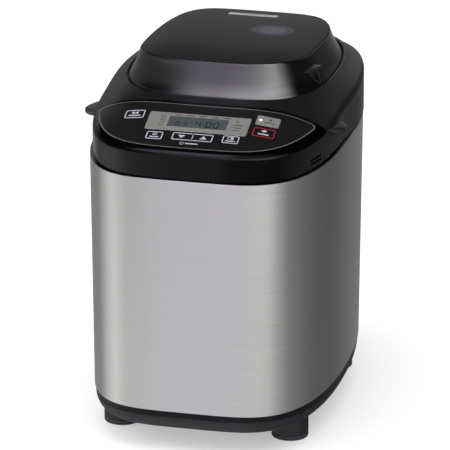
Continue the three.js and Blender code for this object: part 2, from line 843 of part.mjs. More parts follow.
// Control panel with its display window, key holes and board posts
const panelBlock = cut(crown(0, 0, deckTop), behindSeam(-seamGap / 2));
const panelUnder = crown(0, panelThickness, deckTop - overrun, hiddenRingShares);
const displayHole = keyPrism(
  0, display.y, display.width + 2 * seat, display.depth + 2 * seat, keyCorner, -boardDepth / 2, overrun
);
const keyHoles = keys.map(({ x, y, width, depth }) => keyPrism(
  x, y, width + 2 * keyClearance, depth + 2 * keyClearance, keyCorner, -boardDepth / 2, overrun
));
const boardPostPlaces = [-1, 1].flatMap((side) => [
  [side * boardPost.rearShare * body.half, boardPost.rearInset - body.front],
  [side * boardPost.frontShare * body.half, boardPost.frontInset - body.front]
]);
const boardPosts = boardPostPlaces.map(([x, y]) => {
  const length = aboveBoard(x, y) - seat;
  return tilted(cylinder(stemRadius, -length, -panelThickness / 2, 0, 0, smallSides), x, y);
});
part('control_panel', joined(cut(panelBlock, panelUnder, displayHole, ...keyHoles), ...boardPosts), satinBlack);

// Display: silver surround, window and module down to the board
const raised = (proud) => crown(0, -proud, deckTop);
const displayPrism = keyPrism(0, display.y, display.width, display.depth, keyCorner, -panelThickness, overrun);
const lensHole = keyPrism(
  0, display.y, lens.width + 2 * seat, lens.depth + 2 * seat, seat, -boardDepth, overrun
);
part('display_bezel', cut(common(raised(display.proud), displayPrism), lensHole), silver);
const lensPrism = keyPrism(0, display.y, lens.width, lens.depth, seat, -lens.thickness, overrun);
part('display_lens', common(raised(lens.proud), lensPrism), displayGlass);
part('display_module', keyPrism(
  0, display.y, lens.width + 2 * wall, lens.depth + 2 * wall, seat, seat - boardDepth, -panelThickness - 2 * seat
), darkSteel);

// Control board with a switch under each key
const boardPlate = new THREE.BoxGeometry(2 * board.half, 2 * board.halfDepth, board.thickness);
boardPlate.translate(0, 0, -boardDepth - board.thickness / 2);
const switches = keys.map(({ x, y }) => {
  const base = -aboveBoard(x, y);
  const height = switchHeight + board.thickness / 2;
  const housing = new THREE.BoxGeometry(switchSize, switchSize, height);
  return tilted(housing.translate(0, 0, base + switchHeight - height / 2), x, y);
});
part('control_board', joined(tilted(boardPlate, 0, display.y), ...switches), circuit);

// Keys with their stems
for (const { name, x, y, width, depth } of keys) {
  const cap = common(raised(keyProud), keyPrism(x, y, width, depth, keyCorner, -keyDepth, overrun));
  const stemEnd = -aboveBoard(x, y) + switchHeight + keyTravel + seat;
  const stem = tilted(cylinder(stemRadius, stemEnd, -keyDepth / 2, 0, 0, smallSides), x, y);
  part(name, joined(cap, stem), name === 'start_button' ? silver : satinBlack);
}

// Chassis plate on the tray posts, with posts of its own under the oven
const chassisOutline = {
  ...body,
  half: body.half - chassisInset.side,
  front: body.front - chassisInset.front,
  rear: body.rear - chassisInset.rear
};
const ovenPosts = [-1, 1].flatMap((side) => [-1, 1].map((end) => cylinder(
  post.radius, chassis.bottom, chamber.floor, side * ovenPost.x, ovenY + end * ovenPost.y, smallSides
)));
const chassisPlate = loft([chassis.bottom, chassisTop].map((z) => bowed(chassisOutline, z, hiddenPlanSides)));
const shaftHole = cylinder(chassis.shaftHole, 0, chassisTop + overrun, 0, ovenY);
const rotorHole = cylinder(smallPulley.groove + pulleyFlange, 0, chassisTop + overrun, motorX, motor.y);
part('chassis_plate', cut(joined(chassisPlate, ...ovenPosts), shaftHole, rotorHole), darkSteel);

// Oven chamber: folded box with a top flange, open to the shaft, the element and the sensor
const chamberRing = (spread, z) => rounded(
  0, ovenY, chamber.halfX + spread, chamber.halfY + spread, chamber.corner + spread, z
);
const chamberBox = loft([
  chamberRing(sheet, chamber.floor),
  chamberRing(sheet, chamber.top - sheet),
  chamberRing(sheet + chamber.flange, chamber.top - sheet),
  chamberRing(sheet + chamber.flange, chamber.top),
  chamberRing(0, chamber.top),
  chamberRing(0, chamber.floor + sheet)
]);
const chamberFront = ovenY - chamber.halfY - sheet;
const bearingHole = cylinder(bearing.radius + running, chassisTop, chamber.floor + overrun, 0, ovenY);
const terminalHoles = [-1, 1].map((side) => deepRod(
  heater.radius + 2 * running, chamberFront - overrun, chamberFront + overrun, side * heater.terminalX, heater.height
));
const sensorHole = deepRod(
  sensor.radius + running, chamberFront - overrun, chamberFront + overrun, 0, sensor.height
);
part('oven_chamber', cut(chamberBox, bearingHole, ...terminalHoles, sensorHole), aluminium);

// Heating element: one loop round the pan, with both ends out through the front wall
const loopHalfX = chamber.halfX - heater.gap;
const loopHalfY = chamber.halfY - heater.gap;
const loopRing = rounded(0, ovenY, loopHalfX, loopHalfY, heater.corner, 0).map((point) => [point.x, point.y]);
const frontRight = 3 * (cornerSides + 1);
const insideFront = ovenY - loopHalfY;
const leads = (side) => [
  [side * heater.terminalX, chamberFront - heater.terminalReach],
  ...bend(side * heater.terminalX, insideFront, side * heater.bend, -heater.bend)
];
const elementPath = [
  ...leads(1),
  ...loopRing.slice(frontRight),
  ...loopRing.slice(0, frontRight),
  ...leads(-1).reverse()
];
part('heater_element', wire(elementPath, heater.radius).translate(0, 0, heater.height), darkSteel);

// Temperature sensor with its flange on the outside of the oven wall
const sensorFront = chamberFront - sensor.outside;
const sensorTip = chamberFront + sheet + sensor.inside;
part('temperature_sensor', joined(
  deepRod(sensor.radius, sensorFront, sensorTip, 0, sensor.height),
  deepRod(sensor.flange, chamberFront - seat - sensor.flangeThickness, chamberFront - seat, 0, sensor.height)
), brass);

// Pan mount: ring with inward bayonet lugs
const bayonetPitch = 360 / bayonet.count;
const mountLugs = Array.from({ length: bayonet.count }, (unused, i) => sector(
  (flangeRing.outer + lugReach) / 2, mountRing.bore + sheet, i * bayonetPitch, i * bayonetPitch + bayonet.span,
  mountTop - bayonet.thickness, mountTop
).translate(0, ovenY, 0));
const ledgeTop = mountBottom + mountRing.ledge;
part('pan_mount', joined(turned([
  [mountRing.inner, mountBottom],
  [mountRing.outer, mountBottom],
  [mountRing.outer, mountTop],
  [mountRing.bore, mountTop],
  [mountRing.bore, ledgeTop],
  [mountRing.inner, ledgeTop],
  [mountRing.inner, mountBottom]
], 0, ovenY), ...mountLugs), aluminium);

// Drive bearing, shaft, pulleys and belt
const bearingFlangeTop = chassisTop + bearing.flangeHeight;
part('drive_bearing', turned([
  [shaftRadius + running, chassisTop],
  [bearing.flange, chassisTop],
  [bearing.flange, bearingFlangeTop],
  [bearing.radius, bearingFlangeTop],
  [bearing.radius, bearingTop],
  [shaftRadius + running, bearingTop],
  [shaftRadius + running, chassisTop]
], 0, ovenY), aluminium);
part('drive_shaft', cylinder(shaftRadius, shaftBottom, dog.bottom + dog.thickness, 0, ovenY), steel);

function grooved(pulley, bore) {
  const top = pulley.bottom + pulley.height;
  const radius = pulley.groove + pulleyFlange;
  return [
    [bore, pulley.bottom],
    [radius, pulley.bottom],
    [radius, pulley.bottom + flangeHeight],
    [pulley.groove, pulley.bottom + flangeHeight],
    [pulley.groove, top - flangeHeight],
    [radius, top - flangeHeight],
    [radius, top],
    [bore, top],
    [bore, pulley.bottom]
  ];
}

const pulleyMiddle = largePulley.bottom + largePulley.height / 2;
const dish = (z0, z1) => turned([
  [largePulley.hub, z0],
  [largePulley.groove - pulleyRim, z0],
  [largePulley.groove - pulleyRim, z1],
  [largePulley.hub, z1],
  [largePulley.hub, z0]
], 0, ovenY);
part('large_pulley', cut(
  turned(grooved(largePulley, shaftRadius + running), 0, ovenY),
  dish(largePulley.bottom - seat, pulleyMiddle - largePulley.web / 2),
  dish(pulleyMiddle + largePulley.web / 2, largePulley.bottom + largePulley.height + seat)
), darkSteel);
part('motor_pulley', turned(grooved(smallPulley, rotorRadius + running), motorX, motor.y, smallSides), darkSteel);

function beltOutline(Outline, largeRadius, smallRadius) {
  const dy = motor.y - ovenY;
  const spread = Math.acos((largeRadius - smallRadius) / Math.hypot(motorX, dy));
  const toMotor = Math.atan2(dy, motorX);
  const outline = new Outline();
  outline.absarc(0, ovenY, largeRadius, toMotor + spread, toMotor - spread + 2 * Math.PI, false);
  outline.absarc(motorX, motor.y, smallRadius, toMotor - spread, toMotor + spread, false);
  outline.closePath();
  return outline;
}

const beltInnerLarge = largePulley.groove + seat;
const beltInnerSmall = smallPulley.groove + seat;
const beltShape = beltOutline(THREE.Shape, beltInnerLarge + belt.thickness, beltInnerSmall + belt.thickness);
beltShape.holes.push(beltOutline(THREE.Path, beltInnerLarge, beltInnerSmall));
const beltLoop = new THREE.ExtrudeGeometry(beltShape, {
  depth: belt.width, bevelEnabled: false, curveSegments: roundSides / 2
});
part('drive_belt', beltLoop.translate(0, 0, pulleyMiddle - belt.width / 2), rubber);

// Motor on four feet, with a blind bore for its rotor shaft
const bellBottom = stackBottom - motor.bellHeight;
const motorFeet = [-1, 1].flatMap((side) => [-1, 1].map((end) => {
  const inset = motorHalf - post.radius;
  return cylinder(post.radius, chassisTop, stackTop, motorX + side * inset, motor.y + end * inset, smallSides);
}));
const motorStack = block(
  motorX - motorHalf, motorX + motorHalf, motor.y - motorHalf, motor.y + motorHalf, stackBottom, stackTop
);
const motorBells = cylinder(motorBell, bellBottom, stackTop + motor.bellHeight, motorX, motor.y);
const rotorBore = cylinder(rotorRadius + running, 0, stackTop, motorX, motor.y, smallSides);
part('motor', cut(joined(motorStack, motorBells, ...motorFeet), rotorBore), darkSteel);
part('motor_shaft', cylinder(
  rotorRadius, smallPulley.bottom, stackTop - seat, motorX, motor.y, smallSides
), steel);
part('capacitor', cylinder(
  capacitor.radiusShare * body.half, chassisTop, chassisTop + capacitor.height,
  capacitor.xShare * body.half, capacitor.inset - body.front
), silver);

// Power board on standoffs, with a transformer, a relay and a heat sink
const powerX = powerBoard.xShare * body.half;
const powerHalf = powerBoard.halfShare * body.half;
const powerBottom = chassisTop + powerBoard.stand;
const powerTop = powerBottom + powerBoard.thickness;
const standoffs = [-1, 1].flatMap((side) => [-1, 1].map((end) => cylinder(
  stemRadius, chassisTop, powerBottom + powerBoard.thickness / 2,
  powerX + side * (powerHalf - 2 * stemRadius), powerBoard.y + end * (powerBoard.halfY - 2 * stemRadius), smallSides
)));
const onBoard = [transformer, heatSink, relay].map(({ xShare, yShare, half, height }) => {
  const x = powerX + xShare * powerHalf;
  const y = powerBoard.y + yShare * powerBoard.halfY;
  return block(x - half, x + half, y - half, y + half, powerBottom, powerTop + height);
});
part('power_board', joined(
  block(
    powerX - powerHalf, powerX + powerHalf,
    powerBoard.y - powerBoard.halfY, powerBoard.y + powerBoard.halfY, powerBottom, powerTop
  ),
  ...standoffs,
  ...onBoard
), circuit);

// Drive dog on the shaft top, with two lugs that push the wing of the pan
const dogPlate = turned([
  [shaftRadius + running, dog.bottom],
  [dog.radius, dog.bottom],
  [dog.radius, dog.bottom + dog.thickness],
  [shaftRadius + running, dog.bottom + dog.thickness],
  [shaftRadius + running, dog.bottom]
], 0, ovenY);
const dogLugs = [0, 180].map((turn) => sector(
  dog.lugInner, dog.lugOuter, turn + dogOffset - dog.lugSpan / 2, turn + dogOffset + dog.lugSpan / 2,
  dog.bottom + dog.thickness / 2, dogTop
).translate(0, ovenY, 0));
part('drive_dog', joined(dogPlate, ...dogLugs), darkSteel);

// Bread pan: drafted cup with a rolled rim, a shaft hole and an ear on each long side
const panRing = (spread, z) => {
  const share = (z - pan.bottom) / (pan.top - pan.bottom);
  const draft = pan.draft * (1 - Math.min(Math.max(share, 0), 1));
  return rounded(0, ovenY, pan.halfX - draft + spread, pan.halfY - draft + spread, pan.corner + spread, z);
};
const panCup = loft([
  panRing(0, pan.bottom),
  panRing(0, pan.top - pan.wall),
  panRing(pan.rim, pan.top - pan.wall),
  panRing(pan.rim, pan.top),
  panRing(-pan.wall, pan.top),
  panRing(-pan.wall, pan.bottom + pan.wall)
]);
const earFace = pan.halfX + ear.reach;
const panEars = [-1, 1].map((side) => {
  const [near, out] = [pan.halfX - pan.wall, earFace].map((x) => side * x);
  const halfWidth = ear.width / 2;
  return block(
    Math.min(near, out), Math.max(near, out), ovenY - halfWidth, ovenY + halfWidth,
    pan.top - pan.wall / 2 - ear.height, pan.top - pan.wall / 2
  );
});
const pinEnd = pan.halfX + seat;
const earHoles = crossRod(bail.radius + running, -earFace - overrun, -pinEnd, ovenY, bail.pivotZ);
const earHoleRight = crossRod(bail.radius + running, pinEnd, earFace + overrun, ovenY, bail.pivotZ);
const panHole = cylinder(flangeRing.boss + running, 0, pan.bottom + overrun, 0, ovenY);
part('bread_pan', cut(joined(panCup, ...panEars), earHoles, earHoleRight, panHole), coated);

// Cast flange under the pan, with outward bayonet lugs and the bush of the blade shaft
const flangeLugTop = mountTop - bayonet.thickness - bayonet.clearance;
const flangeLugs = Array.from({ length: bayonet.count }, (unused, i) => {
  const start = i * bayonetPitch + bayonet.span - bayonet.overlap;
  return sector(
    flangeRing.outer - sheet, lugReach, start, start + bayonet.span, flangeBottom, flangeLugTop
  ).translate(0, ovenY, 0);
});
const flangeWeb = flangeTop - flangeRing.web;
const bushBottom = wingTop + 2 * running;
part('pan_flange', joined(turned([
  [shaftRadius + running, bushBottom],
  [flangeRing.boss, bushBottom],
  [flangeRing.boss, flangeWeb],
  [flangeRing.inner, flangeWeb],
  [flangeRing.inner, flangeBottom],
  [flangeRing.outer, flangeBottom],
  [flangeRing.outer, flangeTop],
  [flangeRing.boss, flangeTop],
  [flangeRing.boss, bossTop],
  [shaftRadius + running, bossTop],
  [shaftRadius + running, bushBottom]
], 0, ovenY), ...flangeLugs), aluminium);

// Carrying handle: bent wire, lying at its rest angle across the pan
const halfBail = (side) => [
  [side * (pinEnd + seat), 0],
  ...bend(side * bail.offset, 0, -side * bail.hook, bail.hook).reverse(),
  ...bend(side * bail.offset, bail.length, -side * bail.corner, -bail.corner)
];
const bailWire = wire([...halfBail(1), ...halfBail(-1).reverse()], bail.radius);
bailWire.rotateX(THREE.MathUtils.degToRad(bail.rest)).translate(0, ovenY, bail.pivotZ);
part('pan_handle', bailWire, steel);

// Blade shaft, wing coupling and kneading blade
part('blade_shaft', cylinder(shaftRadius, wing.bottom, bladeTop - blade.cap - seat, 0, ovenY), steel);
part('pan_coupling', cut(
  joined(
    block(-wing.half, wing.half, ovenY - wing.width / 2, ovenY + wing.width / 2, wing.bottom, wingTop),
    cylinder(shaftRadius + wall, wing.bottom, wingTop, 0, ovenY)
  ),
  cylinder(shaftRadius + running, 0, wingTop + overrun, 0, ovenY)
), darkSteel);
const bladeFoot = pan.bottom + pan.wall + blade.clearance;
part('kneading_blade', cut(
  joined(
    cylinder(blade.hub, blade.bottom, bladeTop, 0, ovenY),
    block(
      blade.hub / 2, blade.reach, ovenY - blade.thickness / 2, ovenY + blade.thickness / 2,
      blade.bottom, bladeFoot + blade.height
    )
  ),
  cylinder(shaftRadius + running, 0, bladeTop - blade.cap, 0, ovenY)
), coated);

// Main lid: crown behind the seam, hollow below, with grips, hinge arms and two wells
const lidBlock = common(crown(0, 0, lidBase), behindSeam(seamGap / 2));
const lidHollow = crown(wall, wall, lidBase - overrun, hiddenRingShares);
const lidCavity = common(lidHollow, behindSeam(seamGap / 2 + wall));
const grips = [-1, 1].map((side) => {
  const leaf = new THREE.SphereGeometry(1, smallSides, smallSides / 2);
  return leaf.scale(grip.reach, grip.halfLength, grip.halfHeight)
    .translate(side * (topOutline.half - grip.bite), grip.y, grip.z);
});
const hingeArms = [-1, 1].flatMap((side) => {
  const x = side * hinge.x;
  const half = hinge.knuckle / 2;
  return [
    crossRod(hinge.barrel, x - half, x + half, hinge.y, hinge.z),
    block(x - half, x + half, topOutline.rear - 3 * wall, hinge.y, lidBase + seat, hinge.z + hinge.barrel)
  ];
});
const hingeBore = crossRod(hinge.pin + running, -body.half, body.half, hinge.y, hinge.z);
const hopperHole = ({ x, y, halfX, halfY, corner }) => loft([
  rounded(x, y, halfX + seat, halfY + seat, corner, lidBase - overrun),
  rounded(x, y, halfX + seat, halfY + seat, corner, capCrest)
]);
const domeLugs = [-1, 1].flatMap((side) => {
  const near = domeHinge.half + seat;
  const [x0, x1] = [side * near, side * (near + domeHinge.lug)].sort((a, b) => a - b);
  return [
    crossRod(domeHinge.barrel, x0, x1, domeHinge.y, domeHinge.z),
    block(
      x0, x1, domeHinge.y - domeHinge.barrel, domeHinge.y + domeHinge.barrel,
      topHeight(0, domeHinge.y) - 2 * wall, domeHinge.z
    )
  ];
});
const domeBore = crossRod(
  domeHinge.pin + running, -domeHinge.half - overrun, domeHinge.half + overrun, domeHinge.y, domeHinge.z
);
part('lid_cover', cut(
  joined(lidBlock, ...grips, ...hingeArms, ...domeLugs),
  lidCavity, hingeBore, domeBore, hopperHole(raisin), hopperHole(yeast)
), satinBlack);

// Lid lining and seal
const liningTop = lining.bottom + lining.thickness;
const liningOutline = grown(topOutline, -wall - lining.clearance);
const throatHole = ({ x, y, throatX, throatY, corner }) => loft([
  rounded(x, y, throatX + 2 * hopperWall + seat, throatY + 2 * hopperWall + seat, corner, lining.bottom - overrun),
  rounded(x, y, throatX + 2 * hopperWall + seat, throatY + 2 * hopperWall + seat, corner, liningTop + overrun)
]);
part('lid_lining', cut(
  common(
    loft([lining.bottom, liningTop].map((z) => spreadRing(bowed(liningOutline, z, hiddenPlanSides)))),
    behindSeam(seamGap / 2 + wall + lining.clearance)
  ),
  throatHole(raisin), throatHole(yeast)
), aluminium);
const sealBottom = deckTop + seat;
const sealTop = lining.bottom - seat;
part('lid_seal', loft([
  chamberRing(seal.inset + seal.width, sealBottom),
  chamberRing(seal.inset + seal.width, sealTop),
  chamberRing(seal.inset, sealTop),
  chamberRing(seal.inset, sealBottom)
], true), silicone);

// Ingredient hoppers in the lid, each with a drop flap on trunnions
function hopper(cup) {
  const { x, y, halfX, halfY, throatX, throatY, corner, side } = cup;
  const top = deckEdge - deckRecess + seat;
  const ring = (across, along, spread, z) => rounded(x, y, across + spread, along + spread, corner, z);
  const upper = { across: halfX - hopperWall, along: halfY - hopperWall };
  const walls = loft([
    ring(throatX, throatY, hopperWall, hopperBottom),
    ring(upper.across, upper.along, hopperWall, top),
    ring(upper.across, upper.along, hopperWall + hopperFlange.reach, top),
    ring(upper.across, upper.along, hopperWall + hopperFlange.reach, top + hopperFlange.thickness),
    ring(upper.across, upper.along, 0, top + hopperFlange.thickness),
    ring(throatX, throatY, 0, hopperBottom)
  ], true);
  const pivotX = x + side * (throatX + flap.outset);
  const pivotZ = hopperBottom - seat - flap.barrel;
  const lugInner = throatY + flap.lap + flap.clearance;
  const [x0, x1] = [pivotX + side * flap.barrel, pivotX - side * (flap.outset + 2 * corner)]
    .sort((a, b) => a - b);
  const lugs = [-1, 1].flatMap((end) => {
    const span = (near) => [y + end * near, y + end * (lugInner + flap.lug)].sort((a, b) => a - b);
    return [
      block(x0, x1, ...span(lugInner), pivotZ - flap.barrel - seat, hopperBottom + sheet),
      block(x0, x1, ...span(throatY + hopperWall / 2), hopperBottom, hopperBottom + sheet)
    ];
  });
  const bore = deepRod(flap.trunnion + running, y - 2 * throatY, y + 2 * throatY, pivotX, pivotZ);
  return cut(joined(walls, ...lugs), bore);
}

function dropFlap(cup) {
  const { x, y, throatX, throatY, side } = cup;
  const pivotX = x + side * (throatX + flap.outset);
  const pivotZ = hopperBottom - seat - flap.barrel;
  const along = throatY + flap.lap;
  const [x0, x1] = [pivotX, x - side * (throatX + flap.lap)].sort((a, b) => a - b);
  return joined(
    block(x0, x1, y - along, y + along, hopperBottom - seat - flap.thickness, hopperBottom - seat),
    deepRod(flap.barrel, y - along, y + along, pivotX, pivotZ),
    deepRod(flap.trunnion, y - along - flap.lug, y + along + flap.lug, pivotX, pivotZ)
  );
}

part('ingredient_dispenser', hopper(raisin), coated);
part('dispenser_flap', dropFlap(raisin), coated);
part('yeast_dispenser', hopper(yeast), coated);
part('yeast_flap', dropFlap(yeast), coated);
part('flap_solenoid', joined(
  block(
    solenoid.x - solenoid.halfX, solenoid.x + solenoid.halfX,
    solenoid.y - solenoid.halfY, solenoid.y + solenoid.halfY,
    liningTop, liningTop + solenoid.height
  ),
  deepRod(
    solenoid.plunger, solenoid.y - solenoid.halfY - solenoid.plungerReach, solenoid.y,
    solenoid.x, liningTop + solenoid.height / 2
  )
), darkSteel);

// Rear cover, standing off the steel, with louvres, a gland hole and the hinge lugs
const steelClear = loft([
  bowed(grown(scaled(body, shellBottomShare), seat), shellBottom),
  bowed(grown(body, seat), shellTop)
]);
const coverBlock = block(
  -rearCover.half, rearCover.half, body.rear - 2 * overrun, rearCover.rear, rearCover.bottom, rearCover.top
);
const coverHollow = block(
  wall - rearCover.half, rearCover.half - wall, body.rear - 3 * overrun, rearCover.rear - wall,
  rearCover.bottom + wall, rearCover.top - wall
);
const louvres = Array.from({ length: rearCover.vents }, (unused, i) => {
  const z = rearCover.top - 3 * rearCover.ventPitch - i * rearCover.ventPitch;
  const half = rearCover.half * rearCover.ventShare;
  return block(-half, half, rearCover.rear - 2 * wall, rearCover.rear + overrun, z, z + rearCover.ventHeight);
});
const hingeLugs = [-1, 1].flatMap((side) => [-1, 1].flatMap((end) => {
  const inner = side * hinge.x + end * (hinge.knuckle / 2 + 2 * seat);
  const [x0, x1] = [inner, inner + end * hinge.lug].sort((a, b) => a - b);
  return [
    crossRod(hinge.barrel, x0, x1, hinge.y, hinge.z),
    block(x0, x1, body.rear + 2 * seat, hinge.y + hinge.barrel, rearCover.top - wall, hinge.z)
  ];
}));
const glandHole = crossRod(
  gland.radius + running, rearCover.half - overrun, rearCover.half + overrun, gland.y, gland.z
);
const coverShell = cut(coverBlock, steelClear, coverHollow);
part('rear_cover', cut(joined(coverShell, ...hingeLugs), ...louvres, hingeBore, glandHole), satinBlack);
const glandProfile = [
  [gland.bore, -gland.inside],
  [gland.radius, -gland.inside],
  [gland.radius, seat],
  [gland.flange, seat],
  [gland.flange, seat + gland.lip],
  [gland.bore + wall, gland.reach],
  [gland.bore, gland.reach],
  [gland.bore, -gland.inside]
];
part('cord_inlet', turned(glandProfile, 0, 0).rotateY(Math.PI / 2)
  .translate(rearCover.half, gland.y, gland.z), rubber);
for (const [name, side] of [['left', -1], ['right', 1]]) {
  const half = hinge.knuckle / 2 + 2 * seat + hinge.lug - seat;
  part(`lid_hinge_pin_${name}`, crossRod(
    hinge.pin, side * hinge.x - half, side * hinge.x + half, hinge.y, hinge.z
  ), steel);
}

// Dispenser lid: glossy skirt with a finger tab, matt cap with a steam vent
const skirtFoot = deckEdge - deckRecess + 2 * seat;
const domeBlock = (inset, sink, base, ringShares) => {
  const low = bowed(grown(dome, -inset), base);
  const high = bowed(grown(ridge, -inset), (x, y) => capHeight(x, y) - sink);
  const rings = [low, high];
  for (const share of ringShares) {
    rings.push(bowed(scaled(grown(ridge, -inset), share), (x, y) => capHeight(x, y) - sink));
  }
  return loft(rings);
};
const domeShell = cut(
  domeBlock(0, 0, skirtFoot, capRingShares),
  domeBlock(domeWall, domeWall, skirtFoot - domeWall, hiddenRingShares)
);
const capPrism = (spread) => loft([
  bowed(grown(ridge, spread - sheet), deckEdge + 3 * domeWall),
  bowed(grown(ridge, spread - sheet), capCrest + overrun)
]);
const tabFoot = halfWidthAt(dome, tab.y);
const tabRidge = halfWidthAt(ridge, tab.y);
const tabLean = (tabFoot - tabRidge) / (capHeight(tabRidge, tab.y) - skirtFoot);
const tabSkirtX = tabFoot - tabLean * (tab.z - skirtFoot);
const placeTab = (geometry) => geometry
  .rotateZ(THREE.MathUtils.degToRad(-tab.turn))
  .translate(tabSkirtX, tab.y, tab.z);
const tabHole = placeTab(block(
  -tab.block - seat, overrun, -tab.width / 2 - seat, tab.width / 2 + seat, -tab.height - seat, tab.plate + seat
));
const domeKnuckle = joined(
  crossRod(domeHinge.barrel, -domeHinge.half, domeHinge.half, domeHinge.y, domeHinge.z),
  block(
    -domeHinge.half, domeHinge.half, dome.centre + dome.rear - 2 * domeWall, domeHinge.y,
    domeHinge.z - domeHinge.barrel / 2, domeHinge.z + domeHinge.barrel
  )
);
part('dome_skirt', cut(joined(cut(domeShell, capPrism(seat)), domeKnuckle), tabHole, domeBore), glossBlack);
const ventSlope = Math.atan((steamVent.y - capCrestY) / capRadius.rear);
const ventPlate = (spread, low, high) => loft([low, high].map((z) => rounded(
  0, 0, steamVent.width / 2 + spread, steamVent.depth / 2 + spread, steamVent.corner, z
)));
const placeVent = (geometry) => geometry
  .rotateX(-ventSlope)
  .translate(0, steamVent.y, capHeight(0, steamVent.y));
const ventSlot = placeVent(ventPlate(seat, -overrun / 2, overrun / 2));
part('dome_cap', cut(common(domeShell, capPrism(0)), ventSlot), mattBlack);

// Finger tab: plate over a scooped recess
const tabSection = new THREE.Shape();
tabSection.moveTo(-tab.block, -tab.height);
tabSection.lineTo(tabLean * tab.height, -tab.height);
tabSection.lineTo(-tabLean * tab.plate, tab.plate);
tabSection.lineTo(-tab.block, tab.plate);
const tabBody = new THREE.ExtrudeGeometry(tabSection, { depth: tab.width, bevelEnabled: false });
tabBody.rotateX(Math.PI / 2).translate(0, tab.width / 2, 0);
const plateShape = new THREE.Shape();
plateShape.moveTo(-tab.block, -tab.width / 2);
plateShape.lineTo(tab.reachFront, -tab.width / 2);
plateShape.lineTo(tab.reachRear, tab.width / 2);
plateShape.lineTo(-tab.block, tab.width / 2);
const tabPlate = new THREE.ExtrudeGeometry(plateShape, { depth: tab.plate, bevelEnabled: false });
const scoopShape = new THREE.Shape();
scoopShape.moveTo(-tab.width / 2 + domeWall, -seat);
const scoopX = tab.scoopShare * tab.width;
scoopShape.quadraticCurveTo(-scoopX, -tab.height / 2, scoopX, domeWall - tab.height);
scoopShape.quadraticCurveTo(tab.width / 2 - domeWall, -tab.height / 2, tab.width / 2 - domeWall, -seat);
const scoop = new THREE.ExtrudeGeometry(scoopShape, { depth: overrun, bevelEnabled: false, curveSegments: 5 });
scoop.rotateX(Math.PI / 2).rotateZ(Math.PI / 2).translate(-tab.recess, 0, 0);
part('finger_tab', placeTab(cut(joined(tabBody, tabPlate), scoop)), satinBlack);

// Steam vent: pale grille flush with the cap
const grilleSlots = Array.from({ length: steamVent.slots }, (unused, i) => {
  const y = (i - (steamVent.slots - 1) / 2) * (steamVent.depth / steamVent.slots);
  const half = steamVent.width / 2 - steamVent.depth / 3;
  return block(-half, half, y - steamVent.slotWidth / 2, y + steamVent.slotWidth / 2, -overrun, overrun);
});
const grille = cut(ventPlate(0, -steamVent.thickness, seat), ...grilleSlots);
part('steam_vent', placeVent(grille), paleGrey);
part('dispenser_lid_pin', crossRod(
  domeHinge.pin, -domeHinge.half - domeHinge.lug, domeHinge.half + domeHinge.lug, domeHinge.y, domeHinge.z
), steel);

export default machine;
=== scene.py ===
from math import atan, copysign, cos, hypot, pi, radians, sin

import bmesh
import bpy
from mathutils import Matrix, Vector


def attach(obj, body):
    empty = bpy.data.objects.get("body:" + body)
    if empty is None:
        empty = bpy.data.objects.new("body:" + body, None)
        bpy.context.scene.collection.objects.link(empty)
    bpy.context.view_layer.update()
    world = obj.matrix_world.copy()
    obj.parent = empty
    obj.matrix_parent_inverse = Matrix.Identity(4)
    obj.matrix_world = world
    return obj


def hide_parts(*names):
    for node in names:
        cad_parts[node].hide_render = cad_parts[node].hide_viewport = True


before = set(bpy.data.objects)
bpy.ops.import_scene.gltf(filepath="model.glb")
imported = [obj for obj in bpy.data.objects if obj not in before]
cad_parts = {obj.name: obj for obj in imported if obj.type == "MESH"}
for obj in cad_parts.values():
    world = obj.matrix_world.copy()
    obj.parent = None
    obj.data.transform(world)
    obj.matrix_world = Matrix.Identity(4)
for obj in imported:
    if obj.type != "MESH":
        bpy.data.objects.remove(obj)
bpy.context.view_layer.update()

scene = bpy.context.scene


# Camera: a long lens from the front right, a little above the machine, which stands in the
# middle of the view.
def add_object(name, data):
    made = bpy.data.objects.new(name, data)
    scene.collection.objects.link(made)
    return made


view_turn, view_rise, view_distance = radians(14.02), radians(19.72), 5.0
view_target = Vector((-0.00079, -0.034, 0.18645))
camera_data = bpy.data.cameras.new("view_camera")
camera_data.sensor_width = 36
camera_data.lens = 397.68
camera_data.clip_end = 50
camera = add_object("view_camera", camera_data)
toward_camera = Vector((sin(view_turn) * cos(view_rise), -cos(view_turn) * cos(view_rise), sin(view_rise)))
camera.matrix_world = (
    Matrix.Translation(view_target + toward_camera * view_distance)
    @ Matrix.Rotation(view_turn, 4, "Z")
    @ Matrix.Rotation(pi / 2 - view_rise, 4, "X")
)
scene.camera = camera
scene.view_settings.view_transform = "Standard"


# Studio: a white room with a plain white floor. The metal and the gloss also see five soft bands of
# light round the machine, from a pale floor side to a high panel in front. Two lamps hang above it
# and on the left.
def fill_inputs(tree, node, inputs):
    for name, value in dict(inputs).items():
        if isinstance(value, bpy.types.NodeSocket):
            tree.links.new(value, node.inputs[name])
        else:
            node.inputs[name].default_value = value
    return node


def add_node(tree, kind, inputs=()):
    return fill_inputs(tree, tree.nodes.new(f"ShaderNode{kind}"), inputs)


def link_math(tree, operation, first, second):
    node = add_node(tree, "Math", {0: first, 1: second})
    node.operation = operation
    return node.outputs[0]


def link_ramp(tree, factor, stops):
    node = add_node(tree, "ValToRGB", {0: factor})
    elements = node.color_ramp.elements
    while len(elements) < len(stops):
        elements.new(0.5)
    for element, (position, level) in zip(elements, stops):
        element.position = position
        element.color = (*level, 1) if isinstance(level, tuple) else (level, level, level, 1)
    return node.outputs[0]


def link_colour(tree, blend, first, second):
    node = add_node(tree, "Mix")
    node.data_type, node.blend_type = "RGBA", blend
    return fill_inputs(tree, node, {0: 1, 6: first, 7: second}).outputs[2]


def link_seen(tree):
    rays = add_node(tree, "LightPath").outputs
    return link_math(tree, "MAXIMUM", rays["Is Camera Ray"], rays["Is Transmission Ray"])


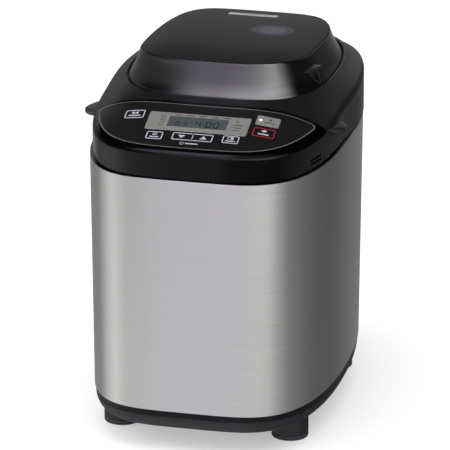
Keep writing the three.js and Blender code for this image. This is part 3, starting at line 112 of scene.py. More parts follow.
def mesh_of(bm, name="blank"):
    mesh = bpy.data.meshes.new(name)
    bm.to_mesh(mesh)
    bm.free()
    return mesh


world = bpy.data.worlds.new("studio")
scene.world = world
world.use_nodes = True
tree = world.node_tree
tree.nodes.clear()
split = add_node(tree, "SeparateXYZ", {0: add_node(tree, "TexCoord").outputs["Generated"]}).outputs
turn = link_math(tree, "ARCTAN2", split["X"], link_math(tree, "MULTIPLY", split["Y"], -1))
turn_share = link_math(tree, "ADD", link_math(tree, "DIVIDE", turn, 2 * pi), 0.5)
rise_share = link_math(tree, "ADD", link_math(tree, "MULTIPLY", split["Z"], 0.5), 0.5)
# A band pairs turns from the front, in degrees, with the light seen there. Its rises fade it in and
# out over the height, from -1 straight down to 1 straight up.
floor_levels = [
    (-180, 0.35), (-120, 0.46), (-96, 1.1), (-72, 1.2), (-54, 0.9), (-38, 1.15), (-25, 1.15), (-14, 1.15),
    (12, 1.0), (28, 0.85), (44, 0.65), (53, 0.6), (87, 0.6), (102, 0.42), (127, 0.24), (147, 0.1),
    (161, 0.12), (172, 0.2), (180, 0.35),
]
low_levels = [
    (-180, 0.3), (-120, 0.34), (-96, 0.9), (-72, 1.5), (-54, 1.2), (-38, 0.85), (-25, 0.75), (-19, 0.65),
    (-14, 0.55), (-8, 0.35), (0, 0.2), (28, 0.12), (62, 0.1), (87, 0.2), (102, 0.3), (127, 0.25),
    (147, 0.16), (161, 0.15), (180, 0.3),
]
strip_levels = [
    (-180, 0.3), (-150, 0.2), (-120, 0.15), (-54, 0.13), (-38, 0.17), (-25, (0.24, 0.23, 0.26)),
    (-19, (0.35, 0.33, 0.39)), (-14, (0.65, 0.61, 0.74)), (-8, (0.85, 0.8, 0.96)), (0, (0.96, 0.92, 1.04)),
    (12, 1.15), (28, 1.5), (44, 1.75), (53, 1.65), (62, 1.2), (70, 0.8), (80, 0.5), (87, 0.2),
    (102, 0.03), (147, 0.02), (161, 0.06), (180, 0.3),
]
panel_levels = [
    (-180, 0.9), (-150, 0.7), (-120, 0.0), (-60, 0.0), (-30, (0.06, 0.06, 0.07)), (-18, (0.7, 0.68, 0.76)),
    (-12, (2.1, 2.05, 2.2)), (10, (2.4, 2.35, 2.5)), (37, (2.8, 2.75, 2.85)), (55, 2.3),
    (70, 1.4), (88, 0.2), (98, 0.0), (150, 0.0), (168, 0.7), (180, 0.9),
]
top_levels = [
    (-180, 0.0), (-60, 0.0), (-45, (0.5, 0.45, 0.6)), (-25, (2.2, 2.0, 2.6)), (-13, (2.6, 2.4, 3.0)),
    (-8, (1.2, 1.15, 1.4)), (0, 0.5), (30, 0.5), (60, 0.3), (80, 0.0), (180, 0.0),
]
studio = None
for levels, rises in (
    (floor_levels, [(-0.44, 1.0), (-0.41, 0.0)]),
    (low_levels, [(-0.44, 0.0), (-0.41, 1.0), (-0.3, 1.0), (-0.26, 0.0)]),
    (strip_levels, [(-0.3, 0.0), (-0.26, 1.0), (0.1, 1.0), (0.2, 0.0)]),
    (panel_levels, [(0.06, 0.0), (0.27, 1.0), (0.33, 1.0), (0.42, 0.0)]),
    (top_levels, [(0.42, 0.0), (0.5, 1.0), (0.9, 1.0), (0.96, 0.0)]),
):
    round_about = link_ramp(tree, turn_share, [((turn + 180) / 360, level) for turn, level in levels])
    up_and_down = link_ramp(tree, rise_share, [((rise + 1) / 2, level) for rise, level in rises])
    band = link_colour(tree, "MULTIPLY", round_about, up_and_down)
    studio = link_colour(tree, "ADD", studio, band) if studio else band
white = (1, 1, 1, 1)
reflected = add_node(tree, "Background", {"Color": studio}).outputs[0]
plain_light = add_node(tree, "Background", {"Color": white, "Strength": 0.7}).outputs[0]
white_room = add_node(tree, "Background", {"Color": white}).outputs[0]
glossy_ray = add_node(tree, "LightPath").outputs["Is Glossy Ray"]
lit = add_node(tree, "MixShader", {0: glossy_ray, 1: plain_light, 2: reflected}).outputs[0]
shown = add_node(tree, "MixShader", {0: link_seen(tree), 1: lit, 2: white_room}).outputs[0]
add_node(tree, "OutputWorld", {"Surface": shown})

floor_material = bpy.data.materials.new("white_floor")
floor_material.use_nodes = True
tree = floor_material.node_tree
tree.nodes.clear()
paint = add_node(tree, "BsdfDiffuse", {"Color": (0.86, 0.86, 0.86, 1)}).outputs[0]
glow = add_node(tree, "Emission", {"Strength": link_math(tree, "MULTIPLY", link_seen(tree), 0.4)}).outputs[0]
add_node(tree, "OutputMaterial", {"Surface": add_node(tree, "AddShader", {0: paint, 1: glow}).outputs[0]})
bm = bmesh.new()
bmesh.ops.create_grid(bm, x_segments=1, y_segments=1, size=6)
floor = add_object("floor", mesh_of(bm, "floor"))
floor.data.materials.append(floor_material)
floor.visible_glossy = False

for name, place, size, power in (
    ("top_panel", (0.1, -0.3, 2.2), (2.0, 2.0), 14),
    ("left_panel", (-2.0, -1.0, 1.0), (1.2, 1.6), 16),
):
    lamp_data = bpy.data.lights.new(name, "AREA")
    lamp_data.shape = "RECTANGLE"
    lamp_data.size, lamp_data.size_y = size
    lamp_data.energy = power
    lamp = add_object(name, lamp_data)
    away = Vector(place) - Vector((0, 0, 0.2))
    lamp.matrix_world = Matrix.Translation(place) @ away.to_track_quat("Z", "Y").to_matrix().to_4x4()
    lamp.visible_glossy = False


# Feet: four round rubber pads under the bosses of the base, moulded with a rounded edge and a
# groove round the side. Sizes here and below are in millimetres from the middle of the body, which
# lies in front of the frame's origin, and the front is towards -y.
body_middle, merge_gap = Vector((0, -34, 0)), 0.003


def finish(name, colour, spread, roughness, grain, bump, metal=0.0, specular=0.5, stretch=(1, 1, 1), more=()):
    material = bpy.data.materials.new(name)
    material.use_nodes = True
    tree = material.node_tree
    place = add_node(tree, "TexCoord").outputs["Object"]
    mapping = add_node(tree, "Mapping", {"Vector": place, "Scale": [grain * share for share in stretch]})
    noise = add_node(tree, "TexNoise", {"Vector": mapping.outputs[0], "Scale": 1, "Detail": 5}).outputs[0]
    relief = add_node(tree, "Bump", {"Strength": bump, "Distance": 0.0005, "Height": noise}).outputs[0]
    low, high = (tuple(level * share for level in colour) for share in (1 - spread, 1 + spread))
    fill_inputs(tree, tree.nodes["Principled BSDF"], {
        "Base Color": link_ramp(tree, noise, [(0.3, low), (0.7, high)]),
        "Roughness": link_ramp(tree, noise, [(0.3, roughness * 0.9), (0.7, roughness * 1.1)]),
        "Normal": relief, "Metallic": metal, "Specular IOR Level": specular, **dict(more),
    })
    return material


def add_piece(bm, name, materials, body, replaces=(), sharp=30):
    bmesh.ops.remove_doubles(bm, verts=bm.verts, dist=merge_gap)
    bmesh.ops.recalc_face_normals(bm, faces=bm.faces)
    bmesh.ops.translate(bm, verts=bm.verts, vec=body_middle)
    bmesh.ops.scale(bm, verts=bm.verts, vec=(0.001, 0.001, 0.001))
    for face in bm.faces:
        face.smooth = True
    for edge in bm.edges:
        edge.smooth = len(edge.link_faces) == 2 and edge.calc_face_angle() < radians(sharp)
    piece = add_object(name, mesh_of(bm, name))
    for material in materials if isinstance(materials, list) else [materials]:
        piece.data.materials.append(material)
    piece.modifiers.new("even_shading", "WEIGHTED_NORMAL").keep_sharp = True
    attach(piece, body)
    if replaces:
        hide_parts(*replaces)
    return piece


def turn_profile(bm, profile, x=0, y=0, steps=64):
    first = [bm.verts.new((x + radius, y, height)) for radius, height in profile]
    edges = [bm.edges.new(pair) for pair in zip(first, first[1:])]
    bmesh.ops.spin(
        bm, geom=first + edges, cent=(x, y, 0), axis=(0, 0, 1), angle=2 * pi, steps=steps, use_merge=True
    )


rubber = finish("foot_rubber", (0.045, 0.05, 0.055), 0.12, 0.75, 900, 0.3)
foot_places = {
    f"{end}_{side}": (x, y)
    for end, y in (("front", -81.5), ("rear", 118)) for side, x in (("left", -86.5), ("right", 86.5))
}
for side, (x, y) in foot_places.items():
    bm = bmesh.new()
    turn_profile(bm, [
        (0, 0), (8, 0), (8.6, 0.6), (14, 0.6), (14.6, 0), (17.2, 0), (18.1, 0.4), (18.5, 1.3), (18.5, 2.2),
        (18.1, 2.5), (18.1, 2.9), (18.5, 3.2), (18.5, 4.5), (18.2, 4.9), (0, 4.9),
    ], x, y)
    add_piece(bm, f"foot_pad_{side}", rubber, "housing", [f"foot_{side}"])


# Base tray: moulded in slate plastic, with a curved skirt, a dark glossy band under the steel and
# four round foot bosses. A lip inside the steel holds the wrap, and slots in the floor let air in.
def grown(outline, amount):
    half, front, rear, *shape = outline
    return half + amount, front + amount, rear + amount, *shape


def scaled(outline, share):
    half, front, rear, *shape = outline
    return half * share, front * share, rear * share, *shape


plan_sides, walk_steps = 168, 7200
body_plan = (125, 160, 200, 0, 4.2, 2.25, 2.25)


def plan_point(outline, angle):
    half, front, rear, centre, across_power, front_power, rear_power = outline
    across, along = cos(angle), sin(angle)
    depth, power = (front, front_power) if along < 0 else (rear, rear_power)
    x = half * copysign(abs(across) ** (2 / across_power), across)
    return Vector((x, centre + copysign(depth * abs(along) ** (2 / power), along), 0))


walk = [plan_point(body_plan, 2 * pi * step / walk_steps) for step in range(walk_steps + 1)]
lengths = [0.0]
for start, end in zip(walk, walk[1:]):
    lengths.append(lengths[-1] + (end - start).length)
plan_angles, step = [], 0
for side in range(plan_sides):
    while lengths[step] < lengths[-1] * side / plan_sides:
        step += 1
    plan_angles.append(2 * pi * step / walk_steps)


def raised(ring, height):
    for point in ring:
        point.z = height(point.x, point.y) if callable(height) else height
    return ring


def plan_ring(outline, height):
    return raised([plan_point(outline, angle) for angle in plan_angles], height)


def plan_rings(outline, *rows, ring=plan_ring):
    return [ring(grown(outline, amount), height) for amount, height in rows]


def skin_over(bm, rings):
    count, rows = len(rings[0]), len(rings) - 1
    made = bmesh.ops.create_grid(bm, x_segments=count, y_segments=rows, size=0.5)
    for vert in made["verts"]:
        row, step = round((vert.co.y + 0.5) * rows), round((vert.co.x + 0.5) * count)
        vert.co = rings[row][step % count]


def shell(rings):
    bm = bmesh.new()
    skin_over(bm, rings)
    return bm


def solid(first, rings, last):
    count = len(rings[0])
    return shell([[Vector(first)] * count, *rings, [Vector(last)] * count])


def cut_shape(bm, *tools, operation="DIFFERENCE"):
    blanks = []
    for shape in (bm, *tools):
        bmesh.ops.remove_doubles(shape, verts=shape.verts, dist=merge_gap)
        bmesh.ops.recalc_face_normals(shape, faces=shape.faces)
        blanks.append(add_object("blank", mesh_of(shape)))
    for tool in blanks[1:]:
        modifier = blanks[0].modifiers.new("cut", "BOOLEAN")
        modifier.operation = operation
        modifier.solver = "MANIFOLD"
        modifier.object = tool
    made = bmesh.new()
    made.from_object(blanks[0], bpy.context.evaluated_depsgraph_get())
    for blank in blanks:
        mesh = blank.data
        bpy.data.objects.remove(blank)
        bpy.data.meshes.remove(mesh)
    return made


def block(x0, x1, y0, y1, z0, z1, edge=0.0, segments=3):
    bm = bmesh.new()
    made = bmesh.ops.create_cube(bm, size=1)
    bmesh.ops.scale(bm, verts=made["verts"], vec=(abs(x1 - x0), abs(y1 - y0), abs(z1 - z0)))
    bmesh.ops.translate(bm, verts=made["verts"], vec=((x0 + x1) / 2, (y0 + y1) / 2, (z0 + z1) / 2))
    if edge:
        bmesh.ops.bevel(
            bm, geom=bm.edges[:], offset=edge, offset_type="OFFSET", affect="EDGES", segments=segments,
            profile=0.5, material=-1, clamp_overlap=True
        )
    return bm


slate = finish("slate_plastic", (0.0135, 0.013, 0.0155), 0.12, 0.5, 1400, 0.2, specular=0.35)
band_black = finish("band_black", (0.004, 0.004, 0.006), 0.15, 0.3, 500, 0.05, specular=0.2)
tray_plan, lip_plan = scaled(body_plan, 0.972), grown(scaled(body_plan, 0.98), -1.3)
tray_foot, tray_curve, band_low, band_top = 21.5, 15.5, 37.7, 43.2
rings = [plan_ring(scaled(body_plan, 0.868), tray_foot)]
for step in range(13):
    angle = pi / 2 * step / 12
    height = tray_foot + 0.4 * (step == 0) + tray_curve * (1 - cos(angle))
    rings.append(plan_ring(scaled(body_plan, 0.875 + 0.097 * sin(angle)), height))
rings += plan_rings(tray_plan, (-0.5, 37.1), (-0.5, 37.6), (0, band_low), (0, 42.9), (-0.3, band_top))
rings += plan_rings(lip_plan, (0, band_top), (0, 51.2), (-2.5, 51.2)) + plan_rings(tray_plan, (-3.5, 37))
rings += plan_rings(scaled(body_plan, 0.875), (-2.5, 25))
air_slots = [block(-40, 40, y - 2, y + 2, 10, 34) for y in (39, 55, 71)]
bm = cut_shape(solid((0, 0, tray_foot), rings, (0, 0, 25)), *air_slots)
boss = [(0, 4.9), (16.8, 4.9), (17.9, 5.2), (18.4, 6), (18.5, 7), (18.5, 24.5), (0, 24.5)]
for x, y in foot_places.values():
    turn_profile(bm, boss, x, y)
for x in (-84, 84):
    for y in (-64, 118):
        turn_profile(bm, [(0, 24), (5, 24), (5, 60), (0, 60)], x, y, steps=24)
for face in bm.faces:
    in_band = band_low - 0.05 < face.calc_center_median().z < band_top + 0.05
    face.material_index = 1 if in_band and face.normal.z < 0.9 else 0
add_piece(bm, "base_skirt", [slate, band_black], "housing", ["base_tray"])


# Chassis plate, motor, belt drive and boards: steel, cast and moulded pieces out of sight in the
# base and behind the front. Their shapes are the model's own, and each gets its real finish.
def dress(material, *nodes):
    for node in nodes:
        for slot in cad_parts[node].material_slots:
            slot.material = material


dark_steel = finish("dark_steel", (0.11, 0.115, 0.12), 0.15, 0.5, 260, 0.1, metal=1.0)
bright_steel = finish("bright_steel", (0.5, 0.5, 0.5), 0.08, 0.32, 300, 0.05, metal=1.0, stretch=(1, 1, 8))
cast_aluminium = finish("cast_aluminium", (0.5, 0.505, 0.51), 0.1, 0.45, 700, 0.25, metal=1.0)
brass = finish("brass", (0.48, 0.32, 0.09), 0.1, 0.35, 400, 0.1, metal=1.0)
circuit_green = finish("circuit_board", (0.012, 0.09, 0.03), 0.35, 0.5, 220, 0.2)
capacitor_grey = finish("capacitor_can", (0.32, 0.31, 0.3), 0.08, 0.4, 500, 0.1, metal=0.6)
dress(dark_steel, "chassis_plate", "large_pulley", "motor_pulley", "motor", "drive_dog", "pan_coupling")
dress(dark_steel, "display_module", "flap_solenoid")
dress(bright_steel, "drive_shaft", "motor_shaft", "blade_shaft")
dress(cast_aluminium, "pan_mount", "drive_bearing", "pan_flange")
dress(rubber, "drive_belt")
dress(brass, "temperature_sensor")
dress(capacitor_grey, "capacitor")
dress(circuit_green, "power_board", "control_board")


# Steel wrap: one brushed sheet bent round the body, with fine grain running round it and a bright
# rolled edge at the top. It stands on the tray and is held at the top by the housing's sleeve.
brushed_steel = finish(
    "brushed_steel", (0.6, 0.6, 0.595), 0.035, 0.3, 9, 0.03, metal=1.0, stretch=(1, 1, 420)
)
tangent = add_node(brushed_steel.node_tree, "Tangent")
tangent.direction_type, tangent.axis = "RADIAL", "Z"
fill_inputs(brushed_steel.node_tree, brushed_steel.node_tree.nodes["Principled BSDF"], {
    "Anisotropic": 0.6, "Anisotropic Rotation": 0.25, "Tangent": tangent.outputs[0],
})
foot_plan, steel_foot, steel_top = scaled(body_plan, 0.98), 43.6, 285.9
bm = shell([
    plan_ring(foot_plan, steel_foot),
    *plan_rings(body_plan, (0, steel_top), (-0.15, 286.3), (-0.5, 286.5), (-0.85, 286.3), (-1, steel_top)),
    *plan_rings(foot_plan, (-1, steel_foot), (0, steel_foot)),
])
add_piece(bm, "steel_wrap", brushed_steel, "housing", ["steel_shell"], sharp=50)


# Upper housing: one glossy black moulding with the band and rounded hood in front, the deck round
# the oven mouth, and a sleeve that slips inside the steel. Two slots are cut in its right side.
top_plan, dome_y = scaled(body_plan, 0.98), 47.5
dome_plan = (101.8, 116, 121, dome_y, 3.6, 3, 2.25)
recess_plan = grown(dome_plan, 0.8)
level_plan = (104.5, 121.8, 121.8, dome_y, 4.2, 2.25, 2.25)
deck_edge, deck_recess = 344, 2.5
crease_front, crease_rise, crease_end = 314.8, 14.4, 110
spread_start, spread_length, spread_most = -20, 90, 0.0286
seam_y, seam_bow, seam_lean, seam_z = -75, 9, 0.357, 320
lens_middle, lens_points, lens_sides = Vector((0, -114, 0)), 700, 180


def plan_distance(outline, x, y):
    half, front, rear, centre, across_power, front_power, rear_power = outline
    depth, power = (front, front_power) if y < centre else (rear, rear_power)
    return (abs(x / half) ** across_power + abs((y - centre) / depth) ** power) ** (1 / power)


def ease(most, share):
    share = min(max(share, 0), 1)
    return most * share * share * (3 - 2 * share)


def spread_at(y):
    return 1 + ease(spread_most, (y - spread_start) / spread_length)


def top_height(x, y):
    low = crease_front + ease(crease_rise, (y + top_plan[1]) / (crease_end + top_plan[1]))
    inside = max(1 - plan_distance(top_plan, x / spread_at(y), y), 0)
    outside = max(plan_distance(level_plan, x, y) - 1, 0)
    share = inside / (inside + outside) if inside else 0
    return low + (deck_edge - low) * share ** 0.85


def spread_ring(outline, height):
    return raised([Vector((x * spread_at(y), y, z)) for x, y, z in plan_ring(outline, 0)], height)


def between_rings(low, high, share):
    return [start.lerp(end, share) for start, end in zip(low, high)]


def crown(inset, sink, base, fillet=0.0):
    outer = grown(top_plan, -inset)
    rings = [spread_ring(outer, base)]
    for step in range(9 if fillet else 1):
        angle = pi / 2 * step / 8
        drop = sink + fillet * (1 - sin(angle))
        edge = grown(outer, -fillet * (1 - cos(angle)))
        rings.append(spread_ring(edge, lambda x, y: top_height(x, y) - drop))
    start, end = spread_ring(grown(outer, -fillet), 0), plan_ring(grown(level_plan, inset), 0)
    for step in range(1, 10):
        rings.append(raised(between_rings(start, end, step / 9), lambda x, y: top_height(x, y) - sink))
    well, edge, bottom = grown(recess_plan, inset), deck_edge - sink, deck_edge - deck_recess - sink
    rings += plan_rings(well, (0.3, edge), (0, edge - 0.3 * (not inset)), (0, bottom))
    return solid((0, 0, base), rings, (0, dome_y, bottom))


def seam_line(x, z):
    return seam_y + seam_bow * (x / top_plan[0]) ** 2 + seam_lean * (seam_z - z)


def behind_seam(offset, bottom=200, corner=0.0):
    side, back, top, lean = 200, 400, 430, atan(seam_lean)
    profile = [(seam_line(0, top) + offset, top)]
    if corner:
        reach = corner * (1 - sin(lean)) / cos(lean)
        middle_y, middle_z = seam_line(0, bottom) + offset + reach, bottom + corner
        for step in range(9):
            angle = pi + lean + (pi / 2 - lean) * step / 8
            profile.append((middle_y + corner * cos(angle), middle_z + corner * sin(angle)))
    else:
        profile.append((seam_line(0, bottom) + offset, bottom))
    profile += [(back, bottom), (back, top)]
    rings = []
    for step in range(41):
        x = side * (step / 20 - 1)
        bow = seam_line(x, 0) - seam_line(0, 0)
        rings.append([Vector((x, y + bow, z)) for y, z in profile])
    return solid((-side, 200, 330), rings, (side, 200, 330))


def even_ring(points, count):
    walked = [0.0]
    for start, end in zip(points, points[1:] + points[:1]):
        walked.append(walked[-1] + (end - start).length)
    ring, step = [], 0
    for place in range(count):
        target = walked[-1] * place / count
        while walked[step + 1] < target:
            step += 1
        share = (target - walked[step]) / (walked[step + 1] - walked[step])
        ring.append(points[step].lerp(points[(step + 1) % len(points)], share))
    return ring


def lens_outline(inset, back):
    edge, corner, front_steps, back_steps = grown(top_plan, -inset), 6, 900, 300
    points = [plan_point(edge, -pi * step / front_steps) for step in range(front_steps + 1)]
    points = [point for point in points if point.y < seam_line(point.x, top_height(point.x, point.y)) - back]
    left, right = points[-1].x, points[0].x
    for step in range(1, back_steps):
        x, y = left + (right - left) * step / back_steps, seam_y
        for repeat in range(5):
            y = seam_line(x, top_height(x, y)) - back
        points.append(Vector((x, y, 0)))
    points = even_ring(points, lens_points)
    for repeat in range(2):
        points = [
            sum((points[(place + near) % lens_points] for near in range(-corner, corner + 1)), Vector())
            / (2 * corner + 1)
            for place in range(lens_points)
        ]
    return even_ring(points, lens_sides)


def lens_ring(outline, share, lift):
    ring = [lens_middle.lerp(point, share) for point in outline]
    return raised(ring, lambda x, y: top_height(x, y) + lift)


def sleeve_ring(z):
    widening = 0.98 + 0.02 * (z - 43.5) / 243
    return plan_ring(grown(scaled(body_plan, widening), -1.3), z)


def rounded_ring(x, y, half_x, half_y, corner, z, steps=8):
    ring = []
    for right, back, start in ((1, 1, 0), (-1, 1, 1), (-1, -1, 2), (1, -1, 3)):
        for step in range(steps + 1):
            angle = pi / 2 * (start + step / steps)
            ring.append(Vector((
                x + right * (half_x - corner) + corner * cos(angle),
                y + back * (half_y - corner) + corner * sin(angle), z,
            )))
    return ring


def stack(ring, *rows):
    return shell([ring(*row) for row in rows])


def prism(x, y, half_x, half_y, corner, low, high, edge=0.0):
    rings = [rounded_ring(x, y, half_x, half_y, corner, z) for z in (low, high - edge)]
    if edge:
        rings.append(rounded_ring(x, y, half_x - edge, half_y - edge, corner - edge, high))
    return solid((x, y, low), rings, (x, y, high))


def wall_at(y):
    half, front, rear, centre, across_power, front_power, rear_power = top_plan
    return half * (1 - abs(y / front) ** front_power) ** (1 / across_power)


def turned(bm, angle, axis, place):
    bmesh.ops.rotate(bm, verts=bm.verts, cent=(0, 0, 0), matrix=Matrix.Rotation(angle, 3, axis))
    bmesh.ops.translate(bm, verts=bm.verts, vec=place)
    return bm


oven_y, wall = 55, 2.5
oven_mouth = (0, oven_y, 86, 106, 32)
gloss_black = finish("gloss_black", (0.0012, 0.0012, 0.0015), 0.1, 0.1, 420, 0.02, specular=0.25)
panel_plan = lens_outline(6.4, 3.6)
shares = (0, 0.15, 0.3, 0.45, 0.6, 0.7, 0.8, 0.88, 0.95, 1)
rows = [(panel_plan, share, -9) for share in shares] + [(panel_plan, share, 8) for share in reversed(shares)]
pocket = stack(lens_ring, *rows)
front_cavity = cut_shape(crown(wall, 4, 270), behind_seam(-2.9))
rings = [sleeve_ring(268), sleeve_ring(286.2), *plan_rings(top_plan, (0, 286.7), (0, 287.5))]
sleeve = solid((0, 0, 268), rings, (0, 0, 287.5))
lower_cavity = solid((0, 0, 240), plan_rings(top_plan, (-3.4, 240), (-3.4, 285.7)), (0, 0, 285.7))
vent_y, vent_half = -89, 10.5
vent_turn = -atan((wall_at(vent_y + vent_half) - wall_at(vent_y - vent_half)) / (2 * vent_half))
slots = []
for z in (292, 296):
    slot = block(-10, 10, -vent_half, vent_half, 0, 2.2, edge=0.8)
    slots.append(turned(slot, vent_turn, "Z", (wall_at(vent_y), vent_y, z)))
bm = cut_shape(crown(0, 0, 285.7, fillet=4), behind_seam(-0.6, bottom=288.2, corner=5.5))
bm = cut_shape(bm, sleeve, operation="UNION")
bm = cut_shape(bm, lower_cavity, front_cavity, pocket, prism(*oven_mouth, 250, 310), *slots)
add_piece(bm, "housing_hood", gloss_black, "housing", ["top_housing"], sharp=35)


# Control panel: a lens-shaped satin plate let into the hood, with a thin metal line round it and
# holes for the keys and the display. It is clipped in from above, flush with the hood.
tilt = atan((deck_edge - crease_front) / (top_plan[1] + level_plan[3] - level_plan[1]))
panel_normal = Vector((0, -sin(tilt), cos(tilt)))


def on_panel(x, y, across, along, lift):
    point = Vector((x + across, y + along * cos(tilt), top_height(x, y) + along * sin(tilt)))
    point += panel_normal * ((top_height(point.x, point.y) - point.z) * cos(tilt))
    return point + panel_normal * lift


def key_ring(x, y, half_x, half_y, corner, lift):
    flat = rounded_ring(0, 0, half_x, half_y, corner, 0, steps=5)
    return [on_panel(x, y, point.x, point.y, lift) for point in flat]


def key_shape(x, y, *rows):
    rings = [key_ring(x, y, *row) for row in rows]
    return solid(on_panel(x, y, 0, 0, rows[0][-1]), rings, on_panel(x, y, 0, 0, rows[-1][-1]))


def key_prism(x, y, half_x, half_y, corner, low, high):
    return key_shape(x, y, (half_x, half_y, corner, low), (half_x, half_y, corner, high))


key_places = {
    "menu": (-66, -103, 21, 14), "size": (-38, -135, 17.5, 13), "timer_down": (-11, -134, 20.5, 13),
    "timer_up": (11, -134, 20.5, 13), "crust": (38, -133, 17.5, 13), "start": (67, -98, 23, 15),
    "stop": (67, -116, 23, 15),
}
display_y = -112
satin_black = finish("satin_black", (0.0105, 0.0105, 0.0108), 0.1, 0.36, 1500, 0.12, specular=0.3)
plate_plan = lens_outline(6.7, 3.9)
shares = (0.993, 0.95, 0.85, 0.75, 0.65, 0.55, 0.45, 0.35, 0.25, 0.15, 0)
rows = ((0, -2.5), (1, -2.5), (1, -0.4), *((share, 0) for share in shares))
bm = stack(lens_ring, *((plate_plan, *row) for row in rows))
holes = [key_prism(x, y, w / 2 + 0.35, d / 2 + 0.35, 2.3, -7, 9) for x, y, w, d in key_places.values()]
bm = cut_shape(bm, key_prism(0, display_y, 51.3, 14.55, 2.2, -7, 9), *holes)
add_piece(bm, "control_plate", satin_black, "housing", ["control_panel"], sharp=25)
line_metal = finish("line_metal", (0.36, 0.36, 0.36), 0.06, 0.4, 800, 0.05, metal=0.7)
outer, inner = lens_outline(6.1, 3.3), lens_outline(7.0, 4.2)
under = (outer, 1, -0.8)
bm = stack(lens_ring, under, (outer, 1, 0.05), (inner, 1, 0.05), (inner, 1, -0.8), under)
add_piece(bm, "control_plate_line", line_metal, "housing")


# Display: a silver surround round a blue-grey liquid-crystal window, with generic digits and small
# marks beside it. It is pressed into the panel from above.
def capped(rings):
    count = len(rings[0])
    first, last = ([sum(ring, Vector()) / count] * count for ring in (rings[0], rings[-1]))
    return [first, *rings, last]


def oval(x, y, half_x, half_y, count=16):
    angles = [2 * pi * step / count for step in range(count)]
    return [(x + half_x * cos(angle), y + half_y * sin(angle)) for angle in angles]


print_depth, print_step = 0.2, 2.5


def draw_line(bm, x, y, path, width, lift, closed=False):
    dense = []
    for (x0, y0), (x1, y1) in zip(path, path[1:] + path[:1] if closed else path[1:]):
        parts = max(round(hypot(x1 - x0, y1 - y0) / print_step), 1)
        dense += [(x0 + (x1 - x0) * part / parts, y0 + (y1 - y0) * part / parts) for part in range(parts)]
    path = dense if closed else [*dense, path[-1]]
    rings, count = [], len(path)
    for step, (across, along) in enumerate(path):
        if closed:
            before, after = path[step - 1], path[(step + 1) % count]
        else:
            before, after = path[max(step - 1, 0)], path[min(step + 1, count - 1)]
        ahead = Vector((after[0] - before[0], after[1] - before[1])).normalized() * (width / 2)
        left, right = (across - ahead.y, along + ahead.x), (across + ahead.y, along - ahead.x)
        corners = ((left, print_depth), (left, 0), (right, 0), (right, print_depth))
        rings.append([on_panel(x, y, *corner, lift - depth) for corner, depth in corners])
    skin_over(bm, rings + rings[:1] if closed else capped(rings))


def draw_bar(bm, x, y, start, end, along, width, lift):
    draw_line(bm, x, y, [(start, along), (end, along)], width, lift)


def draw_patch(bm, x, y, points, lift):
    skin_over(bm, capped([
        [on_panel(x, y, *point, lift - depth) for point in points] for depth in (print_depth, 0)
    ]))


silver = finish("silver_plastic", (0.33, 0.325, 0.31), 0.04, 0.4, 900, 0.06, metal=0.35)
rows = (
    (51, 14.25, 2, -2.5), (51, 14.25, 2, 0.05), (50.7, 13.95, 1.7, 0.3), (29.5, 8.25, 0.5, 0.3),
    (29.3, 8.05, 0.3, -2.5), (51, 14.25, 2, -2.5),
)
bm = stack(key_ring, *((0, display_y, *row) for row in rows))
add_piece(bm, "display_surround", silver, "housing", ["display_bezel"])
window = finish("display_window", (0.07, 0.085, 0.088), 0.12, 0.2, 60, 0.0, specular=0.3)
bm = key_prism(0, display_y, 29, 7.75, 0.3, -1.4, 0.1)
add_piece(bm, "display_window", window, "housing", ["display_lens"])
ink = finish("display_ink", (0.008, 0.01, 0.012), 0.1, 0.5, 500, 0.0)
segments = {
    "a": ((-1.9, 4), (1.9, 4)), "b": ((2.2, 3.7), (2.2, 0.3)), "c": ((2.2, -0.3), (2.2, -3.7)),
    "d": ((-1.9, -4), (1.9, -4)), "e": ((-2.2, -0.3), (-2.2, -3.7)), "f": ((-2.2, 3.7), (-2.2, 0.3)),
    "g": ((-1.9, 0), (1.9, 0)),
}
large, small, ink_lift = (1, -1.6, 0.9), (0.7, -2.8, 0.7), 0.2
digits = (
    (0.5, "bcfg", large), (11, "abcdef", large), (18.5, "abcdef", large), (-20, "abcdef", small),
    (-13, "bc", small),
)
bm = bmesh.new()
for shift, lit, (size, drop, width) in digits:
    for letter in lit:
        path = [(shift + size * x, size * y + drop) for x, y in segments[letter]]
        draw_line(bm, 0, display_y, path, width, ink_lift)
for along in (-3.4, 0.4):
    draw_bar(bm, 0, display_y, 5.4, 6.2, along, 0.8, ink_lift)
add_piece(bm, "display_digits", ink, "housing")
mark_grey = finish("mark_grey", (0.075, 0.075, 0.072), 0.1, 0.6, 500, 0.0)
mark_lift = 0.34
bm = bmesh.new()
for step in range(5):
    draw_bar(bm, 0, display_y, -25 + 12 * step, -17.5 + 12 * step, 10.6, 0.9, mark_lift)
for step in range(3):
    for start, end, width in ((-38.5, -33.5, 0.9), (33.5, 35, 0.9), (36.3, 45 - step, 1.1)):
        draw_bar(bm, 0, display_y, start, end, 1 - 4 * step, width, mark_lift)
draw_line(bm, 0, display_y, oval(-36, 6.2, 2.2, 2.2), 0.6, mark_lift, closed=True)
draw_line(bm, 0, display_y, [(38.5, 4.8), (38.5, 7.6)], 1.2, mark_lift)
add_piece(bm, "display_marks", mark_grey, "housing")


# Keys: seven moulded caps with rounded edges that slide down through the panel. All but start have a
# printed line near the edge, and the timer pair shares one line with a divider. Start is silver with
# a lamp, and the line of stop is red.
print_white = finish("print_white", (0.5, 0.5, 0.58), 0.05, 0.5, 600, 0.0)
print_red = finish("print_red", (0.35, 0.012, 0.016), 0.08, 0.45, 600, 0.0)
print_dark = finish("print_dark", (0.06, 0.06, 0.06), 0.1, 0.5, 600, 0.0)
lamp_glow = {"Emission Color": white, "Emission Strength": 0.5}
lamp_white = finish("lamp_white", (0.8, 0.8, 0.82), 0.02, 0.3, 300, 0.0, more=lamp_glow)


